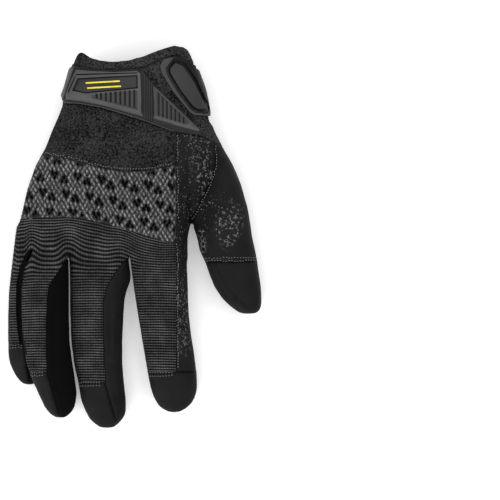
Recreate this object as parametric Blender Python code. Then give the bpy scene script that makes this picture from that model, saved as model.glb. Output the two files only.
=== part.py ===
"""A right-hand tactical glove, lying palm down with its fingers towards -Y and its thumb at +X."""

import math

import bmesh
import bpy
from mathutils import Vector

for thing in list(bpy.data.objects):
    bpy.data.objects.remove(thing)

# Sizes in metres.
hand_width = 0.1085
palm_length = 0.134
hand_height = 0.037
cuff_edge_y = 0.1233
hand_centre_x = -0.020
wall = 0.002
seam_gap = 0.0003
layer_gap = 0.0003

index_reach = 0.1212
index_width = 0.0325
middle_reach = 0.1316
middle_width = 0.0351
ring_reach = 0.1248
ring_width = 0.0299
little_reach = 0.1037
little_width = 0.0195
finger_thickness = 0.020
thumb_reach = 0.1235
thumb_width = 0.0377
thumb_thickness = 0.024

plate_thickness = 0.0018
plate_frame_rise = 0.0016
plate_slot_width = 0.0016
strap_thickness = 0.0017
strap_pad_rise = 0.0014
overlay_thickness = 0.0015
loop_patch_thickness = 0.0009
slit_width = 0.0016

webbing_width = 0.010
webbing_thickness = 0.0014
loop_hole_width = 0.0064
loop_drop = 0.026
loop_floor_gap = 0.0004

# How far the cutters run past the glove, and the smallest nudge that frees a cut from faces in one plane.
sky = 2.5 * hand_height
ground = -0.8 * hand_height
far_side = 1.5 * hand_width
far_tip = -1.5 * palm_length
nudge = 0.000013

# The hand, cuff first.
# along: share of palm_length. left, right: shares of hand_width from the centre line.
# middle, up, down: shares of hand_height, the height of the side seam and the reach above and below it.
hand_rows = (
    (-0.030, -0.135, 0.512, 0.650, 0.390, 0.470),
    (0.058, -0.165, 0.518, 0.650, 0.390, 0.470),
    (0.117, -0.189, 0.548, 0.650, 0.390, 0.470),
    (0.233, -0.237, 0.596, 0.640, 0.400, 0.470),
    (0.291, -0.240, 0.608, 0.620, 0.400, 0.470),
    (0.350, -0.269, 0.620, 0.580, 0.420, 0.460),
    (0.408, -0.302, 0.626, 0.520, 0.460, 0.440),
    (0.495, -0.344, 0.608, 0.460, 0.500, 0.415),
    (0.583, -0.404, 0.572, 0.430, 0.550, 0.388),
    (0.699, -0.455, 0.548, 0.420, 0.580, 0.378),
    (0.796, -0.482, 0.530, 0.420, 0.590, 0.378),
    (0.864, -0.503, 0.512, 0.420, 0.555, 0.378),
    (0.932, -0.521, 0.494, 0.400, 0.480, 0.358),
    (0.981, -0.521, 0.476, 0.380, 0.390, 0.338),
    (1.010, -0.500, 0.450, 0.370, 0.280, 0.300),
)

# The fingers and thumb, root first.
# along: share of the finger's reach. side, width: shares of its width.
# lift: share of hand_height. thick: share of its thickness.
index_rows = (
    (0.000, 0.000, 1.060, 0.460, 1.000),
    (0.134, -0.025, 1.130, 0.470, 1.100),
    (0.214, -0.025, 1.110, 0.460, 1.100),
    (0.349, 0.020, 1.060, 0.430, 1.050),
    (0.456, 0.055, 1.010, 0.410, 1.020),
    (0.584, 0.120, 0.980, 0.390, 1.000),
    (0.681, 0.180, 0.980, 0.370, 1.000),
    (0.810, 0.250, 0.960, 0.350, 0.950),
    (0.885, 0.280, 0.900, 0.330, 0.880),
    (0.938, 0.285, 0.750, 0.310, 0.750),
    (0.971, 0.275, 0.550, 0.300, 0.600),
    (0.996, 0.280, 0.220, 0.290, 0.350),
)
middle_rows = (
    (0.000, 0.000, 0.944, 0.470, 1.000),
    (0.123, -0.009, 1.000, 0.490, 1.050),
    (0.198, 0.005, 1.009, 0.480, 1.050),
    (0.321, 0.009, 1.000, 0.460, 1.000),
    (0.420, 0.000, 0.981, 0.430, 0.980),
    (0.568, -0.005, 0.935, 0.390, 0.950),
    (0.686, 0.023, 0.880, 0.360, 0.930),
    (0.775, 0.074, 0.833, 0.340, 0.920),
    (0.864, 0.120, 0.815, 0.310, 0.900),
    (0.923, 0.167, 0.722, 0.290, 0.800),
    (0.953, 0.167, 0.611, 0.280, 0.680),
    (0.994, 0.185, 0.278, 0.270, 0.350),
)
ring_rows = (
    (0.000, 0.000, 0.717, 0.520, 0.950),
    (0.130, -0.022, 0.761, 0.580, 1.000),
    (0.208, -0.065, 0.891, 0.620, 1.000),
    (0.339, -0.109, 1.000, 0.635, 0.930),
    (0.469, -0.114, 1.011, 0.635, 0.900),
    (0.599, -0.098, 1.000, 0.620, 0.900),
    (0.724, -0.022, 0.978, 0.540, 0.900),
    (0.786, 0.043, 0.935, 0.480, 0.870),
    (0.880, 0.152, 0.804, 0.400, 0.830),
    (0.943, 0.190, 0.641, 0.340, 0.700),
    (0.974, 0.196, 0.457, 0.320, 0.520),
    (0.998, 0.207, 0.190, 0.310, 0.300),
)
little_rows = (
    (0.000, 0.000, 0.600, 0.420, 0.950),
    (0.157, -0.117, 0.567, 0.360, 0.900),
    (0.251, -0.130, 0.660, 0.310, 0.850),
    (0.408, -0.117, 0.900, 0.245, 0.800),
    (0.564, -0.117, 0.967, 0.235, 0.770),
    (0.721, -0.117, 0.967, 0.235, 0.770),
    (0.815, -0.112, 0.957, 0.225, 0.740),
    (0.871, -0.083, 0.900, 0.215, 0.700),
    (0.947, 0.033, 0.733, 0.200, 0.580),
    (0.992, 0.083, 0.400, 0.195, 0.380),
)
thumb_rows = (
    (0.000, 0.000, 0.780, 0.500, 1.000),
    (0.053, 0.069, 0.776, 0.490, 1.020),
    (0.084, 0.116, 0.800, 0.480, 1.040),
    (0.126, 0.185, 0.802, 0.470, 1.060),
    (0.221, 0.315, 0.895, 0.450, 1.090),
    (0.316, 0.414, 0.957, 0.430, 1.100),
    (0.442, 0.505, 1.021, 0.410, 1.050),
    (0.526, 0.569, 0.983, 0.400, 1.020),
    (0.600, 0.629, 0.931, 0.390, 1.000),
    (0.663, 0.671, 0.945, 0.380, 0.980),
    (0.726, 0.741, 0.879, 0.370, 0.950),
    (0.789, 0.789, 0.836, 0.355, 0.920),
    (0.853, 0.849, 0.784, 0.340, 0.880),
    (0.916, 0.922, 0.655, 0.320, 0.800),
    (0.958, 0.996, 0.509, 0.310, 0.650),
    (0.991, 1.043, 0.300, 0.300, 0.400),
)

# Where each finger starts, in shares of hand_width and palm_length, and its size values.
# cap_seam: share of its reach. side_line: (along, side) of the seam of its side panel.
fingers = {
    "index": {
        "root": (0.335, 0.869),
        "reach": index_reach,
        "width": index_width,
        "rows": index_rows,
        "cap_seam": 0.783,
        "side_line": ((-0.20, 0.326), (1.20, 0.326)),
        "side_ends": 0.783,
        "lane": (0.126, 0.700),
    },
    "middle": {
        "root": (-0.042, 0.869),
        "reach": middle_reach,
        "width": middle_width,
        "rows": middle_rows,
        "cap_seam": 0.770,
        "side_line": (
            (0.163, 0.490), (0.296, 0.194), (0.370, 0.120),
            (0.568, 0.120), (0.785, 0.157), (1.010, 0.400),
        ),
        "side_ends": 1.100,
        "lane": (-0.216, 0.126),
    },
    "ring": {
        "root": (-0.317, 0.869),
        "reach": ring_reach,
        "width": ring_width,
        "rows": ring_rows,
        "cap_seam": 0.760,
        "side_line": (
            (0.172, 0.360), (0.312, -0.030), (0.390, -0.076),
            (0.600, -0.098), (0.766, -0.076), (1.010, 0.200),
        ),
        "side_ends": 1.100,
        "lane": (-0.434, -0.216),
    },
    "little": {
        "root": (-0.464, 0.869),
        "reach": little_reach,
        "width": little_width,
        "rows": little_rows,
        "cap_seam": 0.746,
        "side_line": ((0.207, 0.200), (0.408, -0.050), (0.720, -0.050), (1.020, 0.110)),
        "side_ends": 1.100,
        "lane": (-0.700, -0.434),
    },
}
thumb = {
    "root": (0.503, 0.379),
    "reach": thumb_reach,
    "width": thumb_width,
    "rows": thumb_rows,
    "cap_seam": 0.726,
}

# Seams and outlines on the back and palm: (across, along) in shares of hand_width and palm_length.
collar_top = (
    (-0.400, 0.019), (-0.266, 0.019), (-0.180, 0.070), (-0.159, 0.049), (-0.135, 0.029),
    (-0.087, 0.058), (-0.015, 0.075), (0.063, 0.080), (0.153, 0.073), (0.243, 0.053),
    (0.332, 0.024), (0.422, 0.000), (0.476, 0.007), (0.512, 0.039), (0.662, 0.117),
    (0.800, 0.117),
)
collar_low = (
    (-0.400, 0.117), (-0.266, 0.117), (-0.159, 0.107), (-0.057, 0.121), (0.063, 0.131),
    (0.213, 0.117), (0.332, 0.078), (0.422, 0.055), (0.512, 0.090), (0.662, 0.150),
    (0.800, 0.150),
)
flange_line = (
    (-0.600, 0.282), (-0.231, 0.282), (-0.147, 0.286), (-0.027, 0.299), (0.153, 0.347),
    (0.272, 0.376), (0.428, 0.415), (0.596, 0.442), (0.751, 0.505), (1.000, 0.505),
)
back_low = (
    (-0.700, 0.490), (-0.506, 0.505), (-0.368, 0.529), (-0.207, 0.553), (-0.027, 0.592),
    (0.123, 0.612), (0.243, 0.612), (0.362, 0.590), (0.500, 0.570),
)
mesh_low = (
    (-0.700, 0.854), (-0.494, 0.840), (-0.416, 0.835), (-0.326, 0.830), (-0.231, 0.828),
    (-0.129, 0.835), (0.021, 0.864), (0.153, 0.893), (0.249, 0.917), (0.362, 0.947),
    (0.500, 0.975),
)
side_seam = 0.433
side_panel_edge = (
    (0.640, 0.300), (0.650, 0.440), (0.674, 0.553), (0.644, 0.650), (0.566, 0.767),
    (0.518, 0.854), (0.518, 1.100),
)
side_panel_end = 0.854
palm_end = 0.985
finger_start = 1.03
lane_start = 0.50
thumb_side = 0.518
thumb_pad_start = 0.870
thumb_line_start = 0.80
hand_line_end = 0.70
hem_top = 0.092
hem_low = 0.146

# A line in shares that lies beyond all the fingertips, and the heights between which the strap wraps round.
past_tips = ((-0.70, 2.4), (1.00, 2.4))
strap_back_from = 0.50
strap_palm_to = 0.55
strap_pad_from = 0.60

plate_outline = (
    (-0.207, 0.120), (-0.135, 0.140), (0.063, 0.146), (0.213, 0.132), (0.272, 0.165),
    (0.320, 0.214), (0.452, 0.320), (0.590, 0.427), (0.428, 0.408), (0.272, 0.369),
    (0.153, 0.340), (-0.027, 0.291), (-0.200, 0.277), (-0.270, 0.277), (-0.270, 0.200),
)
plate_frame = (
    (-0.150, 0.162), (0.205, 0.150), (0.222, 0.325), (0.060, 0.288), (-0.100, 0.262), (-0.205, 0.250),
)
plate_window = ((-0.128, 0.178), (0.190, 0.168), (0.195, 0.212), (-0.100, 0.236), (-0.168, 0.232))
plate_point = ((0.292, 0.235), (0.330, 0.245), (0.440, 0.340), (0.500, 0.395), (0.300, 0.362))
# Slots in the plate: (across, along at the top, along at the bottom).
plate_slots = (
    (0.008, 0.243, 0.262),
    (0.044, 0.239, 0.270),
    (0.078, 0.236, 0.278),
    (0.112, 0.233, 0.286),
    (0.146, 0.230, 0.294),
    (0.180, 0.228, 0.302),
)
strap_back = (
    (0.326, 0.100), (0.422, 0.070), (0.500, 0.100), (0.800, 0.130), (0.800, 0.330),
    (0.560, 0.330), (0.512, 0.296), (0.404, 0.189),
)
strap_pad = ((0.372, 0.112), (0.422, 0.098), (0.490, 0.135), (0.560, 0.285), (0.520, 0.262), (0.430, 0.178))
strap_palm = (
    (0.800, 0.330), (0.482, 0.335), (0.009, 0.296), (-0.009, 0.252), (0.075, 0.175),
    (0.332, 0.158), (0.800, 0.130),
)
strap_bar = ((0.460, 0.285), (0.110, 0.262), (0.110, 0.215), (0.460, 0.222))
loop_patch_outline = ((0.150, 0.210), (0.430, 0.215), (0.430, 0.400), (0.300, 0.412), (0.180, 0.370))
overlay_outline = (
    (0.428, 0.728), (0.290, 0.539), (0.160, 0.452), (0.060, 0.400), (-0.087, 0.364),
    (-0.240, 0.360), (-0.300, 0.456), (-0.390, 0.699), (-0.430, 0.854), (-0.440, 0.940),
    (-0.380, 0.970), (-0.231, 0.978), (-0.027, 0.978), (0.129, 0.972), (0.272, 0.960),
    (0.420, 0.903), (0.440, 0.835),
)
slit_lines = (
    ((0.123, 0.930), (-0.360, 0.835)),
    ((0.290, 0.893), (0.021, 0.636)),
)
loop_across = 0.310
loop_root_along = 0.084
loop_bulge = 0.0036
loop_ease = 0.0006

glove = bpy.data.collections.new("tactical_glove")
cutters = bpy.data.collections.new("cutters")
bpy.context.scene.collection.children.link(glove)
bpy.context.scene.collection.children.link(cutters)


def across(share):
    return hand_centre_x + share * hand_width


def along(share):
    return cuff_edge_y - share * palm_length


def on_hand(points):
    return [(across(u), along(v)) for u, v in points]


def finish_mesh(mesh):
    """Merge doubles and turn all faces outwards."""
    work = bmesh.new()
    work.from_mesh(mesh)
    bmesh.ops.remove_doubles(work, verts=work.verts, dist=0.00002)
    bmesh.ops.recalc_face_normals(work, faces=work.faces)
    work.to_mesh(mesh)
    work.free()


def make_helper(name, mesh):
    helper = bpy.data.objects.new(name, mesh)
    helper.hide_render = True
    helper.display_type = "WIRE"
    cutters.objects.link(helper)
    return helper


def make_tube(name, rows, grow, sides, top_power, low_power):
    """Loft a closed tube through rows of (x, y, z, half width, up, down), each grown by the same amount."""
    points = []
    least = 0.0006
    for number, (x, y, z, half, up, down) in enumerate(rows):
        shift = -grow if number == len(rows) - 1 else 0.0
        for step in range(sides):
            angle = 2 * math.pi * step / sides
            c = math.cos(angle)
            s = math.sin(angle)
            power = top_power if s >= 0 else low_power
            reach = max((up if s >= 0 else down) + grow, least)
            wide = max(half + grow, least)
            px = x + wide * math.copysign(abs(c) ** (2 / power), c)
            pz = z + reach * math.copysign(abs(s) ** (2 / power), s)
            points.append((px, y + shift, pz))
    faces = []
    for row in range(len(rows) - 1):
        for step in range(sides):
            after = (step + 1) % sides
            a = row * sides
            b = a + sides
            faces.append((a + step, a + after, b + after, b + step))
    faces.append(tuple(range(sides)))
    faces.append(tuple(range((len(rows) - 1) * sides, len(rows) * sides)))
    mesh = bpy.data.meshes.new(name)
    mesh.from_pydata(points, [], faces)
    finish_mesh(mesh)
    return make_helper(name, mesh)


def hand_tube(name, grow, open_cuff=0.0):
    rows = []
    for number, (v, left, right, middle, up, down) in enumerate(hand_rows):
        y = along(v)
        if number == 0:
            y += open_cuff
        rows.append((
            across((left + right) / 2),
            y,
            middle * hand_height,
            (right - left) / 2 * hand_width,
            up * hand_height,
            down * hand_height,
        ))
    return make_tube(name, rows, grow, 28, 2.4, 3.6)


def finger_rows(finger, thickness):
    root_x = across(finger["root"][0])
    root_y = along(finger["root"][1])
    rows = []
    for s, side, width, lift, thick in finger["rows"]:
        rows.append((
            root_x + side * finger["width"],
            root_y - s * finger["reach"],
            lift * hand_height,
            width * finger["width"] / 2,
            thick * thickness / 2,
            thick * thickness / 2,
        ))
    return rows


def finger_tube(name, key, grow):
    return make_tube(name, finger_rows(fingers[key], finger_thickness), grow, 14, 2.3, 2.3)


def thumb_tube(name, grow):
    return make_tube(name, finger_rows(thumb, thumb_thickness), grow, 16, 2.3, 2.3)


def prism(name, outline, low, high):
    """A plan outline as a 2D curve, extruded from low to high."""
    curve = bpy.data.curves.new(name, "CURVE")
    curve.dimensions = "2D"
    curve.fill_mode = "BOTH"
    curve.extrude = (high - low) / 2
    spline = curve.splines.new("POLY")
    spline.points.add(len(outline) - 1)
    for point, (x, y) in zip(spline.points, outline):
        point.co = (x, y, 0, 1)
    spline.use_cyclic_u = True
    drawn = bpy.data.objects.new(name, curve)
    cutters.objects.link(drawn)
    bpy.context.view_layer.update()
    mesh = bpy.data.meshes.new_from_object(drawn)
    bpy.data.objects.remove(drawn)
    for vertex in mesh.vertices:
        vertex.co.z += (high + low) / 2
    finish_mesh(mesh)
    return make_helper(name, mesh)


def profile_prism(name, outline):
    """A side profile of (y, z) points, run across the whole glove in X."""
    helper = prism(name, outline, -far_side, far_side)
    for vertex in helper.data.vertices:
        y, z, x = vertex.co
        vertex.co = (x, y, z)
    finish_mesh(helper.data)
    return helper


def combine(target, other, operation):
    """Run an exact Boolean on target and keep the result as its mesh."""
    cut = target.modifiers.new("cut", "BOOLEAN")
    cut.operation = operation
    cut.solver = "EXACT"
    cut.object = other
    for attempt in range(4):
        cut.use_hole_tolerant = attempt > 1
        bpy.context.view_layer.update()
        graph = bpy.context.evaluated_depsgraph_get()
        mesh = bpy.data.meshes.new_from_object(target.evaluated_get(graph))
        if mesh.polygons:
            break
        for vertex in other.data.vertices:
            vertex.co += Vector((nudge, nudge, nudge / 2))
        other.data.update()
    target.modifiers.clear()
    old = target.data
    target.data = mesh
    bpy.data.meshes.remove(old)
    work = bmesh.new()
    work.from_mesh(mesh)
    bmesh.ops.remove_doubles(work, verts=work.verts, dist=0.000002)
    bmesh.ops.dissolve_degenerate(work, edges=work.edges, dist=0.000002)
    work.to_mesh(mesh)
    work.free()
    return target


def copy_of(source, name):
    return make_helper(name, source.data.copy())


def drop_crumbs(target):
    """Keep the largest body of a cut piece."""
    work = bmesh.new()
    work.from_mesh(target.data)
    left = set(work.verts)
    islands = []
    while left:
        start = left.pop()
        island = {start}
        front = [start]
        while front:
            here = front.pop()
            for edge in here.link_edges:
                there = edge.other_vert(here)
                if there in left:
                    left.remove(there)
                    island.add(there)
                    front.append(there)
        islands.append(island)
    islands.sort(key=spread, reverse=True)
    for island in islands[1:]:
        bmesh.ops.delete(work, geom=list(island), context="VERTS")
    work.to_mesh(target.data)
    work.free()


def spread(island):
    xs = [v.co.x for v in island]
    ys = [v.co.y for v in island]
    zs = [v.co.z for v in island]
    return (max(xs) - min(xs)) + (max(ys) - min(ys)) + (max(zs) - min(zs))


def keep(piece, name, material):
    """Make a helper a part of the glove."""
    drop_crumbs(piece)
    cutters.objects.unlink(piece)
    glove.objects.link(piece)
    piece.name = name
    piece.data.name = name
    piece.hide_render = False
    piece.display_type = "TEXTURED"
    piece.data.materials.clear()
    piece.data.materials.append(material)
    return piece


def make_material(name, colour, roughness):
    material = bpy.data.materials.new(name)
    material.use_nodes = True
    shader = material.node_tree.nodes["Principled BSDF"]
    shader.inputs["Base Color"].default_value = (*colour, 1)
    shader.inputs["Roughness"].default_value = roughness
    return material


def shifted(line, dx, dy):
    return [(x + dx, y + dy) for x, y in line]


def band(name, upper, lower):
    """The plan region between two seam lines, half a seam gap short of each."""
    half = seam_gap / 2
    top = shifted(on_hand(upper), 0, -half)
    low = shifted(on_hand(lower), 0, half)
    return prism(name, top + low[::-1], ground, sky)


def box_prism(name, left, right, top, low):
    return prism(name, [(left, top), (right, top), (right, low), (left, low)], ground, sky)


# Outer forms, inner hollows and the walls between them.
hand_outer = hand_tube("hand_outer", 0.0)
thumb_outer = thumb_tube("thumb_outer", 0.0)
hollow = hand_tube("hollow", -wall, 5 * wall)
combine(hollow, thumb_tube("thumb_hollow", -wall), "UNION")
for key in fingers:
    combine(hollow, finger_tube(key + "_hollow", key, -wall), "UNION")
hand_shell = copy_of(hand_outer, "hand_shell")
combine(hand_shell, thumb_outer, "UNION")
combine(hand_shell, hollow, "DIFFERENCE")
finger_shells = {}
for key in fingers:
    shell = copy_of(hand_outer, key + "_shell")
    combine(shell, finger_tube(key + "_outer", key, 0.0), "UNION")
    combine(shell, hollow, "DIFFERENCE")
    finger_shells[key] = shell

half_gap = seam_gap / 2
hand_split = [(along(row[0]), row[3] * hand_height) for row in hand_rows]


def split_prisms(name, line):
    """Two prisms, above and below a side seam line of (y, z) points, cuff first."""
    first = (line[0][0] + hand_height, line[0][1])
    last = (line[-1][0] - hand_height, line[-1][1])
    full = [first, *line, last]
    above = shifted(full, 0, half_gap)
    below = shifted(full, 0, -half_gap)
    upper = profile_prism(name + "_above", [*above, (last[0], sky), (first[0], sky)])
    lower = profile_prism(name + "_below", [*below, (last[0], ground), (first[0], ground)])
    return upper, lower


hand_line = [*hand_split[:-2], (along(1.0), hand_rows[-1][3] * hand_height)]
hand_above, hand_below = split_prisms("hand_split", hand_line)
thumb_line = [point for point in hand_line if point[0] > along(hand_line_end)]
for row in finger_rows(thumb, thumb_thickness):
    if row[1] < along(thumb_line_start):
        thumb_line.append((row[1], row[2]))
thumb_above, thumb_below = split_prisms("thumb_split", thumb_line)

knit_black = make_material("knit_black", (0.012, 0.012, 0.013), 0.9)
rubber_grey = make_material("rubber_grey", (0.075, 0.075, 0.08), 0.5)
softshell_black = make_material("softshell_black", (0.014, 0.014, 0.015), 0.85)
mesh_grey = make_material("mesh_grey", (0.05, 0.05, 0.052), 0.9)
leather_black = make_material("leather_black", (0.014, 0.014, 0.015), 0.55)
leather_print = make_material("leather_print", (0.03, 0.03, 0.032), 0.6)
webbing_black = make_material("webbing_black", (0.01, 0.01, 0.011), 0.9)
pile_black = make_material("pile_black", (0.01, 0.01, 0.01), 0.95)

# The back of the hand, from the cuff down.
left_side = -far_side
seam_x = across(side_seam)
back_side = box_prism("back_side", left_side, seam_x - half_gap, -far_tip, far_tip)
for name, upper, lower, inner, material in (
    ("cuff_collar", collar_top, collar_low, False, knit_black),
    ("cuff_back", collar_low, flange_line, False, knit_black),
    ("back_panel", flange_line, back_low, True, softshell_black),
    ("knuckle_mesh", back_low, mesh_low, True, mesh_grey),
):
    piece = copy_of(hand_shell, name)
    if inner:
        combine(piece, back_side, "INTERSECT")
    combine(piece, band(name + "_band", upper, lower), "INTERSECT")
    combine(piece, hand_above, "INTERSECT")
    keep(piece, name, material)

side_edge = on_hand(side_panel_edge)
side_plan = shifted(side_edge, -half_gap, 0)
end_y = along(side_panel_end) + half_gap
side_plan = [point for point in side_plan if point[1] > end_y]
side_plan.append((across(thumb_side) - half_gap, end_y))
side_outline = [*side_plan, (seam_x + half_gap, end_y), (seam_x + half_gap, side_plan[0][1])]
below_flange = band("below_flange", flange_line, past_tips)
piece = copy_of(hand_shell, "side_panel")
combine(piece, thumb_above, "INTERSECT")
combine(piece, prism("side_outline", side_outline, ground, sky), "INTERSECT")
combine(piece, below_flange, "INTERSECT")
keep(piece, "side_panel", leather_print)

cap_y = along(thumb["root"][1]) - thumb["cap_seam"] * thumb_reach
thumb_plan = shifted(side_edge, half_gap, 0)
thumb_outline = [
    *thumb_plan,
    (thumb_plan[-1][0], cap_y + half_gap),
    (far_side, cap_y + half_gap),
    (far_side, thumb_plan[0][1]),
]
piece = copy_of(hand_shell, "thumb_back")
combine(piece, thumb_above, "INTERSECT")
combine(piece, prism("thumb_outline", thumb_outline, ground, sky), "INTERSECT")
combine(piece, below_flange, "INTERSECT")
keep(piece, "thumb_back", leather_black)

thumb_left = across(thumb_side)
piece = copy_of(hand_shell, "thumb_cap")
combine(piece, thumb_above, "INTERSECT")
cap_box = box_prism("thumb_cap_box", thumb_left, far_side, cap_y - half_gap, far_tip)
combine(piece, cap_box, "INTERSECT")
keep(piece, "thumb_cap", leather_black)

pad_y = along(thumb_pad_start)
piece = copy_of(hand_shell, "thumb_pad")
combine(piece, thumb_below, "INTERSECT")
combine(piece, box_prism("thumb_pad_box", thumb_left, far_side, pad_y - half_gap, far_tip), "INTERSECT")
keep(piece, "thumb_pad", leather_print)

# The palm, hem first.
hem_y = along(hem_low)
palm_y = along(palm_end)
piece = copy_of(hand_shell, "palm_hem")
combine(piece, hand_below, "INTERSECT")
combine(piece, box_prism("hem_box", left_side, far_side, along(hem_top), hem_y + half_gap), "INTERSECT")
keep(piece, "palm_hem", webbing_black)

piece = copy_of(hand_shell, "palm_leather")
combine(piece, thumb_below, "INTERSECT")
combine(piece, hand_below, "INTERSECT")
palm_outline = [
    (left_side, hem_y - half_gap),
    (far_side, hem_y - half_gap),
    (far_side, pad_y + half_gap),
    (thumb_left - half_gap, pad_y + half_gap),
    (thumb_left - half_gap, palm_y + half_gap),
    (left_side, palm_y + half_gap),
]
combine(piece, prism("palm_outline", palm_outline, ground, sky), "INTERSECT")
keep(piece, "palm_leather", leather_black)

# Each finger: ribbed back, side panel, cap and pad.
order = ["ring", "middle", "little", "index"]
done = []
for key in order:
    finger = fingers[key]
    root_x = across(finger["root"][0])
    root_y = along(finger["root"][1])
    reach = finger["reach"]
    shell = finger_shells[key]
    for other in done:
        combine(shell, finger_tube(key + "_clear_" + other, other, seam_gap), "DIFFERENCE")
    done.append(key)
    line = list(hand_line)
    for row in finger_rows(finger, finger_thickness):
        if row[1] < along(finger_start):
            line.append((row[1], row[2]))
    above, below = split_prisms(key + "_split", line)
    left = across(finger["lane"][0]) + half_gap
    right = across(finger["lane"][1]) - half_gap
    far_y = along(finger_start)
    lane = [
        (left, along(lane_start)),
        (right, along(lane_start)),
        (right, far_y),
        (right + hand_height, far_y - seam_gap),
        (right + hand_height, far_tip),
        (left - hand_height, far_tip),
        (left - hand_height, far_y - seam_gap),
        (left, far_y),
    ]
    lane_prism = prism(key + "_lane", lane, ground, sky)
    combine(shell, lane_prism, "INTERSECT")
    seam_y = root_y - finger["cap_seam"] * reach
    side_line = [(root_x + side * finger["width"], root_y - s * reach) for s, side in finger["side_line"]]
    first_x, first_y = side_line[0]
    wide_x = far_side
    side_region = [(wide_x, first_y), *shifted(side_line, half_gap, 0), (wide_x, side_line[-1][1])]
    seen = prism(key + "_side_region", side_region, ground, sky)
    back_region = [
        (left_side, first_y + hand_height),
        (first_x - half_gap, first_y + hand_height),
        *shifted(side_line, -half_gap, 0),
        (left_side, side_line[-1][1]),
    ]
    if key != "index":
        back_region.insert(2, (wide_x, first_y + half_gap))
        back_region.insert(2, (wide_x, first_y + hand_height))
    not_side = prism(key + "_back_region", back_region, ground, sky)
    side_end_y = root_y - finger["side_ends"] * reach
    mesh_below = band(key + "_below_mesh", mesh_low, past_tips)

    piece = copy_of(shell, key + "_ribs")
    combine(piece, above, "INTERSECT")
    combine(piece, mesh_below, "INTERSECT")
    combine(piece, not_side, "INTERSECT")
    combine(piece, box_prism(key + "_rib_box", -far_side, far_side, -far_tip, seam_y + half_gap), "INTERSECT")
    keep(piece, key + "_ribs", mesh_grey)

    piece = copy_of(shell, key + "_side")
    combine(piece, above, "INTERSECT")
    combine(piece, seen, "INTERSECT")
    start_y = along(side_panel_end) - half_gap
    side_box = box_prism(key + "_side_box", -far_side, far_side, start_y, side_end_y + half_gap)
    combine(piece, side_box, "INTERSECT")
    keep(piece, key + "_side", leather_print if key == "index" else leather_black)

    piece = copy_of(shell, key + "_cap")
    combine(piece, above, "INTERSECT")
    combine(piece, box_prism(key + "_cap_box", -far_side, far_side, seam_y - half_gap, far_tip), "INTERSECT")
    if key != "index":
        combine(piece, not_side, "INTERSECT")
    keep(piece, key + "_cap", leather_black)

    piece = copy_of(shell, key + "_pad")
    combine(piece, below, "INTERSECT")
    combine(piece, box_prism(key + "_pad_box", -far_side, far_side, palm_y - half_gap, far_tip), "INTERSECT")
    keep(piece, key + "_pad", leather_print)


def hand_layer(name, low, high):
    """A skin that follows the hand from low to high above it."""
    skin = hand_tube(name, high, hand_height / 2)
    combine(skin, thumb_tube(name + "_thumb", high), "UNION")
    core = hand_tube(name + "_core", low, hand_height)
    combine(core, thumb_tube(name + "_core_thumb", low), "UNION")
    combine(skin, core, "DIFFERENCE")
    return skin


# The wrist plate: a base, a raised frame with slots, and a raised point beyond the fold.
plate = hand_layer("plate", layer_gap, layer_gap + plate_thickness)
combine(plate, prism("plate_outline", on_hand(plate_outline), 0.0, sky), "INTERSECT")
combine(plate, hand_above, "INTERSECT")
raised = hand_layer("raised", layer_gap + plate_thickness / 2, layer_gap + plate_thickness + plate_frame_rise)
combine(raised, hand_above, "INTERSECT")
frame_form = prism("plate_frame", on_hand(plate_frame), 0.0, sky)
combine(frame_form, prism("plate_window", on_hand(plate_window), ground, sky + hand_height), "DIFFERENCE")
for number, (u, top, low) in enumerate(plate_slots):
    x = across(u)
    half = plate_slot_width / 2
    slot = box_prism("plate_slot_%d" % number, x - half, x + half, along(top), along(low))
    combine(frame_form, slot, "DIFFERENCE")
frame_rise = copy_of(raised, "frame_rise")
combine(frame_rise, frame_form, "INTERSECT")
combine(plate, frame_rise, "UNION")
point_rise = copy_of(raised, "point_rise")
combine(point_rise, prism("plate_point", on_hand(plate_point), 0.0, sky), "INTERSECT")
combine(plate, point_rise, "UNION")
keep(plate, "wrist_plate", rubber_grey)

# The loop patch on the palm side of the wrist, with the strap over it.
patch = hand_layer("patch", layer_gap, layer_gap + loop_patch_thickness)
combine(patch, hand_below, "INTERSECT")
combine(patch, prism("patch_outline", on_hand(loop_patch_outline), ground, sky), "INTERSECT")
keep(patch, "loop_patch", pile_black)

strap_base = 2 * layer_gap + loop_patch_thickness
strap_top = strap_base + strap_thickness
strap = hand_layer("strap", strap_base, strap_top)
strap_form = prism("strap_back", on_hand(strap_back), strap_back_from * hand_height, sky)
strap_under = prism("strap_palm", on_hand(strap_palm), ground, strap_palm_to * hand_height)
combine(strap_form, strap_under, "UNION")
combine(strap, strap_form, "INTERSECT")
strap_rise = hand_layer("strap_rise", strap_base + strap_thickness / 2, strap_top + strap_pad_rise)
pads = prism("strap_pad", on_hand(strap_pad), strap_pad_from * hand_height, sky)
combine(strap_rise, pads, "INTERSECT")
combine(strap, strap_rise, "UNION")
bar_rise = hand_layer("bar_rise", strap_base + strap_thickness / 2, strap_top + strap_pad_rise / 2)
combine(bar_rise, prism("strap_bar", on_hand(strap_bar), ground, strap_back_from * hand_height), "INTERSECT")
combine(strap, bar_rise, "UNION")
keep(strap, "wrist_strap", rubber_grey)

# The palm overlay, with its two flex slits and the flat that it rests on.
overlay = hand_layer("overlay", layer_gap, layer_gap + overlay_thickness)
combine(overlay, hand_below, "INTERSECT")
combine(overlay, prism("overlay_outline", on_hand(overlay_outline), 0.0, sky), "INTERSECT")
for number, (start, end) in enumerate(slit_lines):
    a = Vector(on_hand([start])[0])
    b = Vector(on_hand([end])[0])
    side = (b - a).normalized().orthogonal() * slit_width / 2
    corners = [a + side, b + side, b - side, a - side]
    slit = prism("slit_%d" % number, [tuple(p) for p in corners], ground, hand_height)
    combine(overlay, slit, "DIFFERENCE")
keep(overlay, "palm_overlay", leather_print)

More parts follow.
